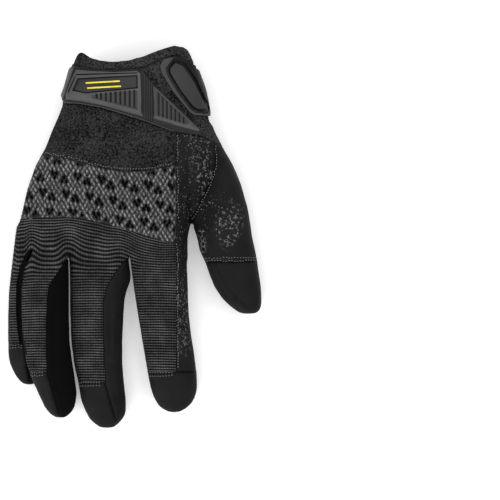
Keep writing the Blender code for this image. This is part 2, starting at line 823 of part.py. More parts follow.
# The pull loop: two legs of webbing that leave the hem and lie back flat under the wrist.
loop_x = across(loop_across)
root_y = along(loop_root_along)
first_row = hand_rows[0]
hem_z = (first_row[3] - first_row[5]) * hand_height
low_z = loop_floor_gap
flat_top = low_z + webbing_thickness
outer_half = webbing_width + loop_hole_width / 2
bulge_y = root_y + loop_bulge
bend_start = root_y - webbing_width
flat_end = bend_start - 3 * loop_ease
profile = [
    (root_y + loop_ease, hem_z + loop_ease / 2),
    (root_y + 4 * loop_ease, hem_z),
    (bulge_y - loop_ease / 3, hem_z - 1.15 * webbing_thickness),
    (bulge_y, flat_top + loop_ease),
    (bulge_y - 1.3 * loop_ease, low_z + loop_ease / 2),
    (root_y + 1.7 * loop_ease, low_z),
    (flat_end, low_z),
    (flat_end, flat_top),
    (root_y + loop_ease, flat_top),
    (root_y + 3 * loop_ease, flat_top + 1.3 * loop_ease),
    (root_y + 3 * loop_ease, hem_z - 1.55 * webbing_thickness),
    (root_y + loop_ease, hem_z - 0.85 * webbing_thickness),
]
loop = None
for number, side in enumerate((-1, 1)):
    centre = loop_x + side * (webbing_width + loop_hole_width) / 2
    leg = prism("leg_%d" % number, profile, -webbing_width / 2, webbing_width / 2)
    for vertex in leg.data.vertices:
        y, z, x = vertex.co
        vertex.co = (x + centre, y, z)
    finish_mesh(leg.data)
    loop = leg if loop is None else combine(loop, leg, "UNION")
bend_y = root_y - loop_drop + outer_half
outer_bend = [(loop_x - outer_half, bend_start)]
inner_bend = [(loop_x - loop_hole_width / 2, bend_start)]
for step in range(9):
    angle = math.pi + math.pi * step / 8
    outer_bend.append((loop_x + outer_half * math.cos(angle), bend_y + outer_half * math.sin(angle)))
    small = loop_hole_width / 2
    inner_bend.append((loop_x + small * math.cos(angle), bend_y + small * math.sin(angle)))
outer_bend.append((loop_x + outer_half, bend_start))
inner_bend.append((loop_x + loop_hole_width / 2, bend_start))
bend = prism("loop_bend", outer_bend + inner_bend[::-1], low_z, flat_top)
combine(loop, bend, "UNION")
keep(loop, "pull_loop", webbing_black)

for helper in cutters.objects:
    helper.hide_render = True
cutters.hide_render = True
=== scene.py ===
import math
import time

import bpy
import numpy as np
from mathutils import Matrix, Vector
from mathutils.bvhtree import BVHTree
from mathutils.kdtree import KDTree


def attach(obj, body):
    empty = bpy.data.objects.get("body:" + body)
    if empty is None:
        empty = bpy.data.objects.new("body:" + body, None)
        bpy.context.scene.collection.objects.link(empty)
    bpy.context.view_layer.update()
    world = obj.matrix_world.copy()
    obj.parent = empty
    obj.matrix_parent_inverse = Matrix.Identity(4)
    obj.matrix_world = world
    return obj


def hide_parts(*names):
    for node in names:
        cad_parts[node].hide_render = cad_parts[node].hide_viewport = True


startTime = time.time()
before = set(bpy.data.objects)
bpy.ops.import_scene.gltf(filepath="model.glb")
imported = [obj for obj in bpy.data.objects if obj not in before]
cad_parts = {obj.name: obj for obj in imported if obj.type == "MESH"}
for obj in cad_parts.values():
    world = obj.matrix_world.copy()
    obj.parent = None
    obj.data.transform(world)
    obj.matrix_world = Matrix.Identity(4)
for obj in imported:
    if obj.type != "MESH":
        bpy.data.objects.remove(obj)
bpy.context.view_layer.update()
mm = 0.001


def tell(text):
    print("%5.1f s  %s" % (time.time() - startTime, text), flush=True)


# Plan places are read off the photograph, which is 500 across and sees 325 mm from straight above
view = {
    "scale": 0.65 * mm,
    "across": 500,
    "originX": 135.25,
    "originY": 235.75,
    "height": 5.0,
    "sensor": 36.0,
}


def plan(x, y):
    return ((x - view["originX"]) * view["scale"], (view["originY"] - y) * view["scale"])


def planLine(*pairs):
    return np.array([plan(x, y) for x, y in pairs])


# Blender helpers

def deselectAll():
    if bpy.context.object and bpy.context.object.mode != "OBJECT":
        bpy.ops.object.mode_set(mode="OBJECT")
    bpy.ops.object.select_all(action="DESELECT")


def makeActive(piece):
    deselectAll()
    piece.select_set(True)
    bpy.context.view_layer.objects.active = piece
    return piece


def editFaces(piece, chosen):
    # Goes into edit mode with just these faces selected
    makeActive(piece)
    bpy.context.tool_settings.mesh_select_mode = (False, False, True)
    mesh = piece.data
    mesh.vertices.foreach_set("select", np.zeros(len(mesh.vertices), bool))
    mesh.edges.foreach_set("select", np.zeros(len(mesh.edges), bool))
    mesh.polygons.foreach_set("select", chosen)
    bpy.ops.object.mode_set(mode="EDIT")


def editAll(piece):
    editFaces(piece, np.ones(len(piece.data.polygons), bool))
    bpy.ops.mesh.select_all(action="SELECT")


def leaveEdit():
    bpy.ops.object.mode_set(mode="OBJECT")


def addModifier(piece, kind, **settings):
    modifier = piece.modifiers.new(kind.lower(), kind)
    for key, value in settings.items():
        setattr(modifier, key, value)
    return modifier


def applyModifiers(piece):
    makeActive(piece)
    for modifier in list(piece.modifiers):
        bpy.ops.object.modifier_apply(modifier=modifier.name)


def cutWith(piece, cutters):
    # An exact cut now and then comes back empty; then the cutter is moved a hair and it runs again
    cutter = joinPieces(cutters, "cutter")
    whole = piece.data.copy()
    for attempt in range(5):
        exact = {"operation": "DIFFERENCE", "solver": "EXACT", "use_hole_tolerant": attempt > 2}
        addModifier(piece, "BOOLEAN", object=cutter, **exact)
        applyModifiers(piece)
        if len(piece.data.polygons) > len(whole.polygons):
            break
        piece.data = whole.copy()
        setPoints(cutter.data, getPoints(cutter.data) + np.array((0.017, 0.011, 0.005)) * mm)
    bpy.data.objects.remove(cutter)


def joinPieces(pieces, name):
    deselectAll()
    for piece in pieces:
        piece.select_set(True)
    bpy.context.view_layer.objects.active = pieces[0]
    bpy.ops.object.join()
    pieces[0].name = name
    pieces[0].data.name = name
    return pieces[0]


def newObject(name, mesh):
    piece = bpy.data.objects.new(name, mesh)
    bpy.context.scene.collection.objects.link(piece)
    return piece


def meshPiece(name, places, faces):
    mesh = bpy.data.meshes.new(name)
    mesh.from_pydata([tuple(p) for p in places], [], [tuple(f) for f in faces])
    mesh.update()
    return newObject(name, mesh)


def readAll(items, key, width=1, kind=np.float32):
    flat = np.empty(len(items) * width, kind)
    items.foreach_get(key, flat)
    return flat.reshape(-1, width) if width > 1 else flat


def getPoints(mesh):
    return readAll(mesh.vertices, "co", 3).astype(np.float64)


def setPoints(mesh, places):
    mesh.vertices.foreach_set("co", places.astype(np.float32).ravel())
    mesh.update()


def getNormals(mesh):
    return readAll(mesh.vertices, "normal", 3).astype(np.float64)


def setAttribute(mesh, name, values):
    kind = "FLOAT_VECTOR" if values.ndim == 2 else "FLOAT"
    made = mesh.attributes.get(name) or mesh.attributes.new(name, kind, "POINT")
    made.data.foreach_set("vector" if values.ndim == 2 else "value", values.astype(np.float32).ravel())


def getAttribute(mesh, name):
    return readAll(mesh.attributes[name].data, "value").astype(np.float64)


def shadeSmooth(piece):
    piece.data.polygons.foreach_set("use_smooth", np.ones(len(piece.data.polygons), bool))


def paint(piece, material):
    piece.data.materials.clear()
    piece.data.materials.append(material)


def smoothStep(value, low, high):
    share = np.clip((value - low) / (high - low), 0, 1)
    return share * share * (3 - 2 * share)


def softNoise(places, size, seed):
    # A smooth random field with bumps of about this size, from crossed waves
    chance = np.random.RandomState(seed)
    total = np.zeros(len(places))
    for octave, weight in ((1.0, 1.0), (1.9, 0.5), (3.7, 0.22)):
        for wave in range(5):
            way = chance.normal(size=3)
            way *= octave * 2 * math.pi / (size * 2.2 * np.linalg.norm(way))
            total += weight * np.sin(places @ way + chance.uniform(0, 6.28))
    return total / 4.0


# The skin: the frame's shells remeshed into one smooth surface, to be cut into panels

skin = {
    "voxel": 0.72 * mm,
    "closeGap": 0.26 * mm,
    "smoothing": 56,
    "plump": 0.3 * mm,
    "stubEnd": -20.0 * mm,
    "cuffFrom": 104.0 * mm,
    "cuffMiddle": 21.0 * mm,
    "cuffWide": 42.0 * mm,
    "cuffTall": 14.0 * mm,
    "corner": (*plan(174.4, 242.1), 24.6 * mm),
    "cornerSize": (2.3 * mm, 2.0 * mm, 0.75 * mm),
    "inward": -0.12,
    "rimUp": 0.75,
    "stubDown": -0.45,
    "stubReach": 1.3 * mm,
    "probe": 0.45 * mm,
}
shellNodes = ["cuff_collar", "cuff_back", "back_panel", "knuckle_mesh", "side_panel"]
shellNodes += ["thumb_back", "thumb_cap", "thumb_pad", "palm_leather", "palm_hem"]
fingerNames = ("index", "middle", "ring", "little")
fingerNodes = {key: [key + "_ribs", key + "_side", key + "_cap", key + "_pad"] for key in fingerNames}
allNodes = shellNodes + [node for key in fingerNames for node in fingerNodes[key]]


def copyNodes(name, nodes, stubs):
    # Joins merged copies of frame nodes; the stubs are cut off below the finger roots
    parts = []
    for node in nodes + stubs:
        part = newObject(node + "Copy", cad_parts[node].data.copy())
        editAll(part)
        bpy.ops.mesh.remove_doubles(threshold=0.000002)
        if node in stubs:
            cut = {"plane_co": (0, skin["stubEnd"], 0), "plane_no": (0, 1, 0)}
            bpy.ops.mesh.select_all(action="SELECT")
            bpy.ops.mesh.bisect(clear_inner=True, use_fill=True, **cut)
        leaveEdit()
        parts.append(part)
    return joinPieces(parts, name)


def makeSkin(name, nodes, stubs):
    shell = copyNodes(name, nodes, stubs)
    # A small plug closes the gap where four panels meet beside the knuckles
    bpy.ops.mesh.primitive_ico_sphere_add(subdivisions=2, radius=1, location=skin["corner"])
    plug = makeActive(bpy.context.object)
    plug.scale = skin["cornerSize"]
    bpy.ops.object.transform_apply(location=True, rotation=True, scale=True)
    shell = joinPieces([shell, plug], name)
    addModifier(shell, "DISPLACE", mid_level=0, strength=skin["closeGap"])
    addModifier(shell, "REMESH", mode="VOXEL", voxel_size=skin["voxel"])
    addModifier(shell, "SMOOTH", factor=0.5, iterations=skin["smoothing"])
    addModifier(shell, "DISPLACE", mid_level=0, strength=skin["plump"])
    applyModifiers(shell)
    facing = readAll(shell.data.polygons, "normal", 3)
    middle = readAll(shell.data.polygons, "center", 3)
    # Without the lining side and the stub ends, only the outside is left
    unwanted = settleSides(shell, np.array([finderSide[finder.find_nearest(place)[2]] for place in middle]))
    spoke = np.stack([middle[:, 0] / skin["cuffWide"], (middle[:, 2] - skin["cuffMiddle"]) / skin["cuffTall"]], 1)
    spoke /= np.maximum(np.linalg.norm(spoke, axis=1, keepdims=True), 1e-6)
    inward = (spoke * facing[:, [0, 2]]).sum(1) < skin["inward"]
    inCuff = middle[:, 1] > skin["cuffFrom"]
    unwanted = np.where(inCuff, inward & (facing[:, 1] < skin["rimUp"]), unwanted)
    atStub = abs(middle[:, 1] - skin["stubEnd"]) < skin["stubReach"]
    unwanted |= (facing[:, 1] < skin["stubDown"]) & atStub
    editFaces(shell, unwanted)
    bpy.ops.mesh.delete(type="FACE")
    bpy.ops.mesh.select_all(action="SELECT")
    bpy.ops.mesh.separate(type="LOOSE")
    leaveEdit()
    found = list(bpy.context.selected_objects)
    found.sort(key=lambda piece: len(piece.data.polygons), reverse=True)
    outer = found[0]
    tell("%s: %s" % (name, [len(piece.data.polygons) for piece in found[:4]]))
    for piece in found[1:]:
        bpy.data.objects.remove(piece)
    return outer


def nodeFinder():
    # The nearest frame face tells which node a place on the skin belongs to, and if it faces the lining
    places, faces, owner, probes = [], [], [], []
    for number, node in enumerate(allNodes):
        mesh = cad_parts[node].data
        base = len(places)
        places.extend([vertex.co.copy() for vertex in mesh.vertices])
        for polygon in mesh.polygons:
            faces.append([base + corner for corner in polygon.vertices])
            owner.append(number)
            probes.append(polygon.center + polygon.normal * skin["probe"])
    tree = BVHTree.FromPolygons(places, faces)
    side = np.array([sideOf(tree, probe) for probe in probes])
    return tree, np.array(owner), side


lookWays = [
    Vector(way)
    for way in ((-1, 0.02, 0.03), (1, 0.03, 0.01), (0.02, 0.01, 1), (0.01, 0.02, -1), (0.03, -1, 0.01))
]


def sideOf(tree, place):
    # Counts the walls between a place and the outside, five ways: 1 is the lining side, 0 outside, 2 in a seam
    votes = [0, 0, 0]
    for way in lookWays:
        hits = 0
        start = place
        while hits < 16:
            spot = tree.ray_cast(start, way)[0]
            if spot is None:
                break
            hits += 1
            start = spot + way * 0.000002
        votes[2 if hits % 2 else hits % 4 // 2] += 1
    return votes.index(max(votes))


def settleSides(piece, side):
    # Faces in the seams, and lone ones, take the side of the faces round them
    loopEdge = readAll(piece.data.loops, "edge_index", kind=np.int32)
    order = np.argsort(loopEdge, kind="stable") // 4
    pairs = order.reshape(-1, 2)
    score = np.where(side == 1, 1.0, np.where(side == 0, -1.0, 0.0))
    start = score.copy()
    for step in range(14):
        total = np.bincount(pairs[:, 0], score[pairs[:, 1]], len(score))
        total = total + np.bincount(pairs[:, 1], score[pairs[:, 0]], len(score))
        score = 0.22 * total + 0.12 * start
    return largestRegion(score > 0, pairs)


def largestRegion(chosen, pairs):
    # The biggest connected part of the chosen faces
    region = np.arange(len(chosen))
    linked = pairs[chosen[pairs[:, 0]] & chosen[pairs[:, 1]]]
    while True:
        before = region.copy()
        lower = np.minimum(region[linked[:, 0]], region[linked[:, 1]])
        np.minimum.at(region, linked[:, 0], lower)
        np.minimum.at(region, linked[:, 1], lower)
        region = region[region]
        if (region == before).all():
            break
    size = np.bincount(region[chosen], minlength=len(chosen))
    return chosen & (region == size.argmax())


finder, finderOwner, finderSide = nodeFinder()


def readSurface(piece):
    # The skin's places, faces, edges, the two faces at each edge, and each face's node
    mesh = piece.data
    corners = readAll(mesh.loops, "vertex_index", kind=np.int32)
    loopEdge = readAll(mesh.loops, "edge_index", kind=np.int32)
    count = np.bincount(loopEdge, minlength=len(mesh.edges))
    order = np.argsort(loopEdge, kind="stable")
    starts = np.searchsorted(loopEdge[order], np.arange(len(mesh.edges)))
    first = order[np.minimum(starts, len(order) - 1)] // 4
    second = np.where(count > 1, order[np.minimum(starts + 1, len(order) - 1)] // 4, -1)
    centres = getPoints(mesh)[corners.reshape(-1, 4)].mean(1)
    label = np.array([finderOwner[finder.find_nearest(place)[2]] for place in centres])
    return {
        "points": getPoints(mesh),
        "quads": corners.reshape(-1, 4),
        "edges": readAll(mesh.edges, "vertices", 2, np.int32),
        "first": first,
        "second": second,
        "label": label,
    }


def settleLabels(surface, rounds):
    # Each face takes the label that most of its neighbours have, so panel edges lose their teeth
    both = surface["second"] >= 0
    a, b = surface["first"][both], surface["second"][both]
    for step in range(rounds):
        votes = np.zeros((len(surface["quads"]), len(allNodes)), np.float32)
        np.add.at(votes, (a, surface["label"][b]), 1)
        np.add.at(votes, (b, surface["label"][a]), 1)
        votes[np.arange(len(votes)), surface["label"]] += 1.5
        surface["label"] = votes.argmax(1)


def spreadMean(places, pairs):
    count = np.bincount(pairs.ravel(), minlength=len(places)).clip(1)[:, None]
    total = np.empty_like(places)
    for axis in range(3):
        total[:, axis] = np.bincount(pairs[:, 0], places[pairs[:, 1], axis], len(places))
        total[:, axis] += np.bincount(pairs[:, 1], places[pairs[:, 0], axis], len(places))
    return total / count


def markSeams(surface):
    first, second, label = surface["first"], surface["second"], surface["label"]
    isRim = second < 0
    other = np.where(isRim, -1, label[second])
    seam = isRim | (label[first] != other)
    surface["seamEdges"] = np.nonzero(seam)[0]
    surface["seamPairs"] = np.stack([label[first], other], 1)[seam]


def smoothSeams(surface, rounds):
    pairs = surface["edges"][surface["seamEdges"]]
    onSeam = np.zeros(len(surface["points"]), bool)
    onSeam[pairs.ravel()] = True
    places = surface["points"]
    for step in range(rounds):
        places[onSeam] = 0.5 * places[onSeam] + 0.5 * spreadMean(places, pairs)[onSeam]
    free = ~onSeam
    for step in range(6):
        places[free] = 0.5 * places[free] + 0.5 * spreadMean(places, surface["edges"])[free]


def surfaceNormals(surface):
    places, quads = surface["points"], surface["quads"]
    across = np.cross(places[quads[:, 2]] - places[quads[:, 0]], places[quads[:, 3]] - places[quads[:, 1]])
    total = np.zeros_like(places)
    for corner in range(4):
        for axis in range(3):
            total[:, axis] += np.bincount(quads[:, corner], across[:, axis], len(places))
    return total / np.maximum(np.linalg.norm(total, axis=1, keepdims=True), 1e-12)


def treeDistance(targets, places):
    tree = KDTree(len(targets))
    for number, place in enumerate(targets):
        tree.insert(place, number)
    tree.balance()
    return np.array([tree.find(place)[2] for place in places])


def isKnit(node):
    return node.endswith("_ribs") or node == "knuckle_mesh"


def isSmoothPair(a, b):
    # The knit runs on without a seam from the finger backs into the spacer mesh, and so does the printed leather
    names = (allNodes[a], allNodes[b] if b >= 0 else "")
    if set(names) == {"side_panel", "index_side"}:
        return True
    return isKnit(names[0]) and isKnit(names[1])


seamShape = {
    "groove": 0.55 * mm,
    "grooveWidth": 0.75 * mm,
    "swell": 0.28 * mm,
    "swellAt": 2.3 * mm,
    "swellWidth": 1.4 * mm,
    "shadeWidth": 0.6 * mm,
    "waves": 0.28 * mm,
    "waveSize": 14 * mm,
}


def seamField(surface):
    pairs = surface["seamPairs"]
    real = np.array([b >= 0 and not isSmoothPair(a, b) for a, b in pairs])
    ends = np.unique(surface["edges"][surface["seamEdges"][real]].ravel())
    surface["seamDistance"] = treeDistance(surface["points"][ends], surface["points"])


# Lines across the back of the hand that the patterns follow
lines = {
    "collarTop": planLine((60, 70), (77, 64), (80, 55), (83, 52.5), (90, 58), (100, 61), (115, 62), (130, 61),
                          (145, 57), (160, 51), (175, 46.5), (187, 50), (190, 56), (196, 72), (200, 80)),
    "meshBand": planLine((0, 190), (30, 190), (48, 191), (86, 194), (120, 200), (155, 203), (177, 204)),
    "meshLow": planLine((5, 222), (22, 218), (50, 217), (75, 217), (100, 221), (130, 230), (165, 241),
                        (177, 245), (200, 252)),
}


def lineY(name, x):
    line = lines[name]
    return np.interp(x, line[:, 0], line[:, 1])


fingerAxes = {
    "index": {"top": plan(150, 245), "low": plan(158, 372), "half": 13.5 * mm},
    "middle": {"top": plan(96, 240), "low": plan(90, 381), "half": 13.0 * mm},
    "ring": {"top": plan(46, 245), "low": plan(40, 371), "half": 10.0 * mm},
    "little": {"top": plan(22, 240), "low": plan(15, 344), "half": 5.0 * mm},
}


ribArch = {
    "gaps": np.array((-80.0, -67.1, -43.7, -8.0, 30.0)) * mm,
    "height": 2.6 * mm,
    "middleY": -7 * mm,
    "reach": 13 * mm,
    "fingerArc": 0.35 * mm,
    "wander": 0.2 * mm,
    "wanderSize": 11 * mm,
}


def ribFlow(places, key):
    # How far along the rib knit a place is: the mesh's edge near the knuckles, an arc over each finger below
    x, y = places[:, 0], places[:, 1]
    axis = fingerAxes[key]
    along = (y - axis["top"][1]) / (axis["low"][1] - axis["top"][1])
    bow = np.clip((x - axis["top"][0] - along * (axis["low"][0] - axis["top"][0])) / axis["half"], -1.3, 1.3)
    share = smoothStep(-y, -9 * mm, 30 * mm)
    arc = ribArch["fingerArc"] * bow * bow * smoothStep(-y, 12 * mm, 30 * mm)
    # Over each gap between two fingers the lines rise in an arch
    gaps = ribArch["gaps"]
    lane = np.clip(np.searchsorted(gaps, x) - 1, 0, 3)
    across = np.clip((x - 0.5 * (gaps[lane] + gaps[lane + 1])) / (0.5 * (gaps[lane + 1] - gaps[lane])), -1, 1)
    swell = ribArch["height"] * np.exp(-((y - ribArch["middleY"]) / ribArch["reach"]) ** 2)
    swell *= np.sin(0.5 * math.pi * across) ** 4
    wander = ribArch["wander"] * softNoise(places, ribArch["wanderSize"], 5)
    return y - (1 - share) * lineY("meshLow", x) + arc - swell + wander


def meshFlow(places):
    return places[:, 1] - lineY("meshBand", places[:, 0])


mainNodes = [node for node in allNodes if not node.startswith("ring_")]
ringStubs = [key + part for key in ("index", "middle", "little") for part in ("_ribs", "_side", "_pad")]
skins = {}
for skinName, skinNodes, skinStubs in (
    ("mainSkin", mainNodes, ["ring_ribs", "ring_side", "ring_pad"]),
    ("ringSkin", shellNodes + fingerNodes["ring"], ringStubs),
):
    skinPiece = makeSkin(skinName, skinNodes, skinStubs)
    surface = readSurface(skinPiece)
    settleLabels(surface, 5)
    markSeams(surface)
    smoothSeams(surface, 14)
    seamField(surface)
    skins[skinName] = surface
    bpy.data.objects.remove(skinPiece)
    tell("%s read, %d faces" % (skinName, len(surface["quads"])))

# Shape of the cloth: seam grooves, the rolled collar, soft folds and dents
folds = [
    # photo x, y, length, width, turn in degrees, depth: a dent is above zero, a fold below
    (20, 300, 60, 2.6, 92, 0.8),
    (150, 262, 34, 5.0, 12, 0.25),
    (90, 256, 40, 5.0, -6, 0.22),
    (204, 196, 84, 20, 76, 2.2),
    (213, 214, 40, 12, 60, 0.9),
    (195, 165, 34, 4.0, 58, 0.5),
    (228, 205, 30, 5.0, 62, -0.6),
    (220, 170, 30, 5.0, 70, 0.35),
    (186, 205, 40, 4.0, 84, -0.3),
    (232, 240, 22, 4.0, -20, 0.4),
    (222, 222, 26, 4.0, 30, -0.4),
    (210, 240, 26, 3.2, -70, 0.4),
    (236, 300, 22, 4.0, 64, 0.3),
    (240, 285, 18, 4.0, 0, 0.25),
    (60, 130, 26, 7.0, 66, 0.35),
    (110, 140, 60, 10.0, 8, -0.3),
    (100, 155, 60, 7.0, 10, 0.25),
    (160, 150, 24, 7.0, 70, 0.3),
    (95, 190, 90, 11.0, 4, -0.35),
    (50, 205, 40, 8.0, -12, 0.3),
    (115, 330, 50, 4.0, 88, -0.25),
    (60, 320, 60, 4.0, 86, -0.2),
    (165, 400, 22, 5.0, 10, 0.2),
    (95, 412, 22, 4.0, 20, 0.25),
    (55, 396, 24, 3.0, 62, 0.25),
    (28, 366, 18, 4.0, 10, 0.2),
]
collar = {
    "roll": 0.95 * mm,
    "rollDepth": 3.0 * mm,
    "bandTop": 3.2 * mm,
    "bandDepth": 7.4 * mm,
    "band": 0.25 * mm,
    "knob": 0.3 * mm,
    "knobAcross": 0.42 * mm,
    "knobDown": 0.34 * mm,
    "hemRoll": 0.6 * mm,
    "hemRollAt": 1.2 * mm,
    "hemTop": 111 * mm,
    "levelDepth": 9 * mm,
}
# The piping on the thumb, a crease and the roll beside it
creases = [
    {
        "line": planLine((213, 262), (219, 274), (226, 285), (236, 296), (246, 304)),
        "width": 0.8 * mm,
        "depth": 0.8 * mm,
    },
    {
        "line": planLine((210, 264), (216, 276), (223, 287.5), (233, 299), (244, 307.5)),
        "width": 1.5 * mm,
        "depth": -0.5 * mm,
    },
]
bulges = [
    # centre, reach and move in millimetres: the lining bulge between middle and index finger
    ((-8.5, -25, 12), (7, 10, 9), (4.6, -1.5, 0)),
    ((-10, -14, 14), (6, 7, 9), (3.0, -1.0, 0)),
]


def lineDistance(places, line):
    # Distance in plan from each place to a drawn line
    least = np.full(len(places), 1.0)
    for (ax, ay), (bx, by) in zip(line[:-1], line[1:]):
        dx, dy = bx - ax, by - ay
        share = np.clip(((places[:, 0] - ax) * dx + (places[:, 1] - ay) * dy) / (dx * dx + dy * dy), 0, 1)
        least = np.minimum(least, np.hypot(places[:, 0] - ax - share * dx, places[:, 1] - ay - share * dy))
    return least


def shapeCloth(surface):
    places = surface["points"]
    outwards = surfaceNormals(surface)
    label = np.zeros(len(places), int)
    for corner in range(4):
        label[surface["quads"][:, corner]] = surface["label"]
    distance = surface["seamDistance"]
    rise = -seamShape["groove"] * np.exp(-(distance / seamShape["grooveWidth"]) ** 2)
    rise += seamShape["swell"] * np.exp(-((distance - seamShape["swellAt"]) / seamShape["swellWidth"]) ** 2)
    waves = softNoise(places, seamShape["waveSize"], 3)
    rise += seamShape["waves"] * waves * smoothStep(distance, 1 * mm, 6 * mm)
    top = smoothStep(outwards[:, 2], -0.1, 0.35)
    # Painted shade, kept in the shade attribute: darker in the seam grooves and, below, in the dents
    shade = 0.5 * np.exp(-(distance / seamShape["shadeWidth"]) ** 2)
    for x, y, length, width, turn, depth in folds:
        cx, cy = plan(x, y)
        angle = math.radians(turn)
        dx, dy = places[:, 0] - cx, places[:, 1] - cy
        alongFold = (dx * math.cos(angle) + dy * math.sin(angle)) / (length * 0.5 * view["scale"])
        acrossFold = (-dx * math.sin(angle) + dy * math.cos(angle)) / (width * 0.5 * view["scale"])
        dent = top * np.exp(-(alongFold ** 2) - acrossFold ** 2)
        rise -= depth * mm * dent
        shade += max(depth, 0) * 0.4 * dent
    isCollar = label == allNodes.index("cuff_collar")
    isHem = label == allNodes.index("palm_hem")
    fromRim = np.where(isHem, collar["hemTop"], lineY("collarTop", places[:, 0])) - places[:, 1]
    share = np.clip((fromRim - collar["rollDepth"] / 2) / (collar["rollDepth"] / 2), -1, 1)
    knobs = np.sin(places[:, 0] / collar["knobAcross"]) * np.sin(fromRim / collar["knobDown"])
    band = smoothStep(fromRim, collar["bandTop"], collar["bandTop"] + 0.6 * mm)
    band *= 1 - smoothStep(fromRim, collar["bandDepth"] - 0.6 * mm, collar["bandDepth"])
    rolled = rise + collar["roll"] * np.sqrt(1 - share * share) + (collar["band"] + collar["knob"] * knobs) * band
    rise = np.where(isCollar, rolled, rise)
    hemmed = rise + collar["hemRoll"] * np.exp(-((fromRim - collar["hemRollAt"]) / collar["hemRollAt"]) ** 2)
    rise = np.where(isHem, hemmed, rise)
    for crease in creases:
        rise -= crease["depth"] * top * np.exp(-(lineDistance(places, crease["line"]) / crease["width"]) ** 2)
    outwards[:, 1] *= np.where((isCollar | isHem) & (fromRim < collar["levelDepth"]), 0.1, 1.0)
    for centre, reach, move in bulges:
        away = (((places - np.array(centre) * mm) / (np.array(reach) * mm)) ** 2).sum(1)
        places += np.array(move) * mm * (np.exp(-away) * smoothStep(outwards @ np.array(move), 0, 1.5))[:, None]
    places += outwards * rise[:, None]
    surface["shade"] = np.clip(shade, 0, 1)


for surface in skins.values():
    shapeCloth(surface)
    surface["tree"] = BVHTree.FromPolygons([tuple(p) for p in surface["points"]], surface["quads"].tolist())
tell("cloth shaped")

# Panels: one closed piece of cloth for each node of the frame
panelWall = 1.4 * mm
ribs = {
    "pitch": 1.716 * mm,
    "height": 0.26 * mm,
    "plainLine": planLine((31, 252), (23, 268), (20, 285), (19.5, 310), (21, 330), (25, 352)),
    "plainDepth": 0.9 * mm,
}
meshKnit = {"cell": 3.05 * mm, "row": 2.4 * mm, "pit": 1.15 * mm, "loop": 0.42 * mm}
slots = {
    "cuff_collar": "knit_black", "cuff_back": "knit_black", "back_panel": "softshell_black",
    "knuckle_mesh": "mesh_grey", "side_panel": "leather_print", "thumb_back": "leather_black",
    "thumb_cap": "leather_black", "thumb_pad": "leather_print", "palm_leather": "leather_black",
    "palm_hem": "webbing_black",
}
for key in fingerNames:
    slots[key + "_ribs"] = "rib_knit"
    slots[key + "_side"] = "leather_print" if key == "index" else "leather_black"
    slots[key + "_cap"] = "leather_black"
    slots[key + "_pad"] = "leather_print"


def camelName(node):
    first, *rest = node.split("_")
    return first + "".join(word.capitalize() for word in rest)


def meshKnitting(u, v):
    # A staggered lattice of knit loops; in every five rows, three carry holes in triangles that point up and down
    cell, row = meshKnit["cell"], meshKnit["row"]
    holes, loops = np.zeros(len(u)), np.zeros(len(u))
    base = np.floor(v / row)
    for step in (-1, 0, 1, 2):
        number = base + step
        inBand = (number + 2) % 5
        band = np.floor((number + 2) / 5)
        middle = 0.5 * ((5 * band - 1) % 2) + (3 * band) % 5
        shifted = u / cell - 0.5 * (number % 2)
        for side in (-1, 0, 1):
            column = np.round(shifted) + side
            chance = np.sin(column * 12.99 + number * 78.23) * 43758.5
            chance = chance - np.floor(chance)
            dv = (v - number * row) / mm - (chance - 0.5) * 0.7
            du = (shifted - column) * cell / mm + dv * 0.3 * np.where(chance > 0.4, 1, -0.8)
            du = du + (chance * 7 % 1 - 0.5) * 0.6
            place = (column + 0.5 * (number % 2) - middle) % 5
            hole = (inBand == 2) & ((place == 0.5) | (place == 4.5))
            hole |= (inBand == 1) & ((place == 0) | (place == 2))
            hole |= (inBand == 0) & ((place == 1.5) | (place == 2.5))
            size = 0.72 + 0.25 * chance
            pit = np.exp(-((du / (0.85 * size)) ** 2) - (dv / (1.45 * size)) ** 2)
            holes = np.maximum(holes, np.where(hole, pit, 0))
            bump = np.exp(-((du / 0.62) ** 2) - (dv / 1.2) ** 2) * (0.5 + 0.5 * (chance * 3 % 1))
            loops = np.maximum(loops, np.where(hole, 0, bump))
    return holes, loops


# Where the grip print lies: kind, strength, then photo x, y, half width and half height
# The kinds are 0 for worm lines, 1 for dots and 2 for honeycomb
printMasks = {
    "side_panel": [(1, 0.85, 190, 190, 34, 100), (0, 0.9, 206, 176, 10, 22), (0, 0.6, 200, 150, 14, 24)],
    "index_side": [(1, 1.0, 182, 290, 30, 60), (0, 0.7, 182, 320, 30, 36), (1, 0.9, 188, 242, 26, 44)],
    "thumb_back": [(1, 1.0, 214, 206, 19, 11), (0, 1.0, 229, 224, 14, 25), (2, 1.0, 201.5, 246, 5, 17),
                   (1, 0.5, 222, 216, 20, 26)],
    "index_pad": [(2, 1.0, 156, 335, 17, 14), (2, 1.0, 154, 301, 17, 17)],
    "middle_pad": [(2, 1.0, 104, 402, 16, 24), (2, 1.0, 98, 350, 17, 15)],
    "ring_pad": [(2, 1.0, 56, 394, 13, 25), (2, 1.0, 47, 341, 15, 18)],
    "little_pad": [(2, 1.0, 23, 362, 11, 19), (2, 1.0, 24, 314, 12, 18)],
    "thumb_pad": [(2, 0.6, 205, 246, 7, 14)],
}


printEdges = {0: (0.6, 1.15), 1: (0.6, 1.15), 2: (0.85, 1.05)}


def printMask(places, areas):
    mask = np.zeros((len(places), 3))
    for kind, strength, x, y, halfWide, halfTall in areas:
        cx, cy = plan(x, y)
        dx, dy = (places[:, 0] - cx) / (halfWide * view["scale"]), (places[:, 1] - cy) / (halfTall * view["scale"])
        away = (dx ** 4 + dy ** 4) ** 0.25 if kind == 2 else np.hypot(dx, dy) + 0.16 * softNoise(places, 5 * mm, 9)
        mask[:, kind] = np.maximum(mask[:, kind], strength * (1 - smoothStep(away, *printEdges[kind])))
    return mask


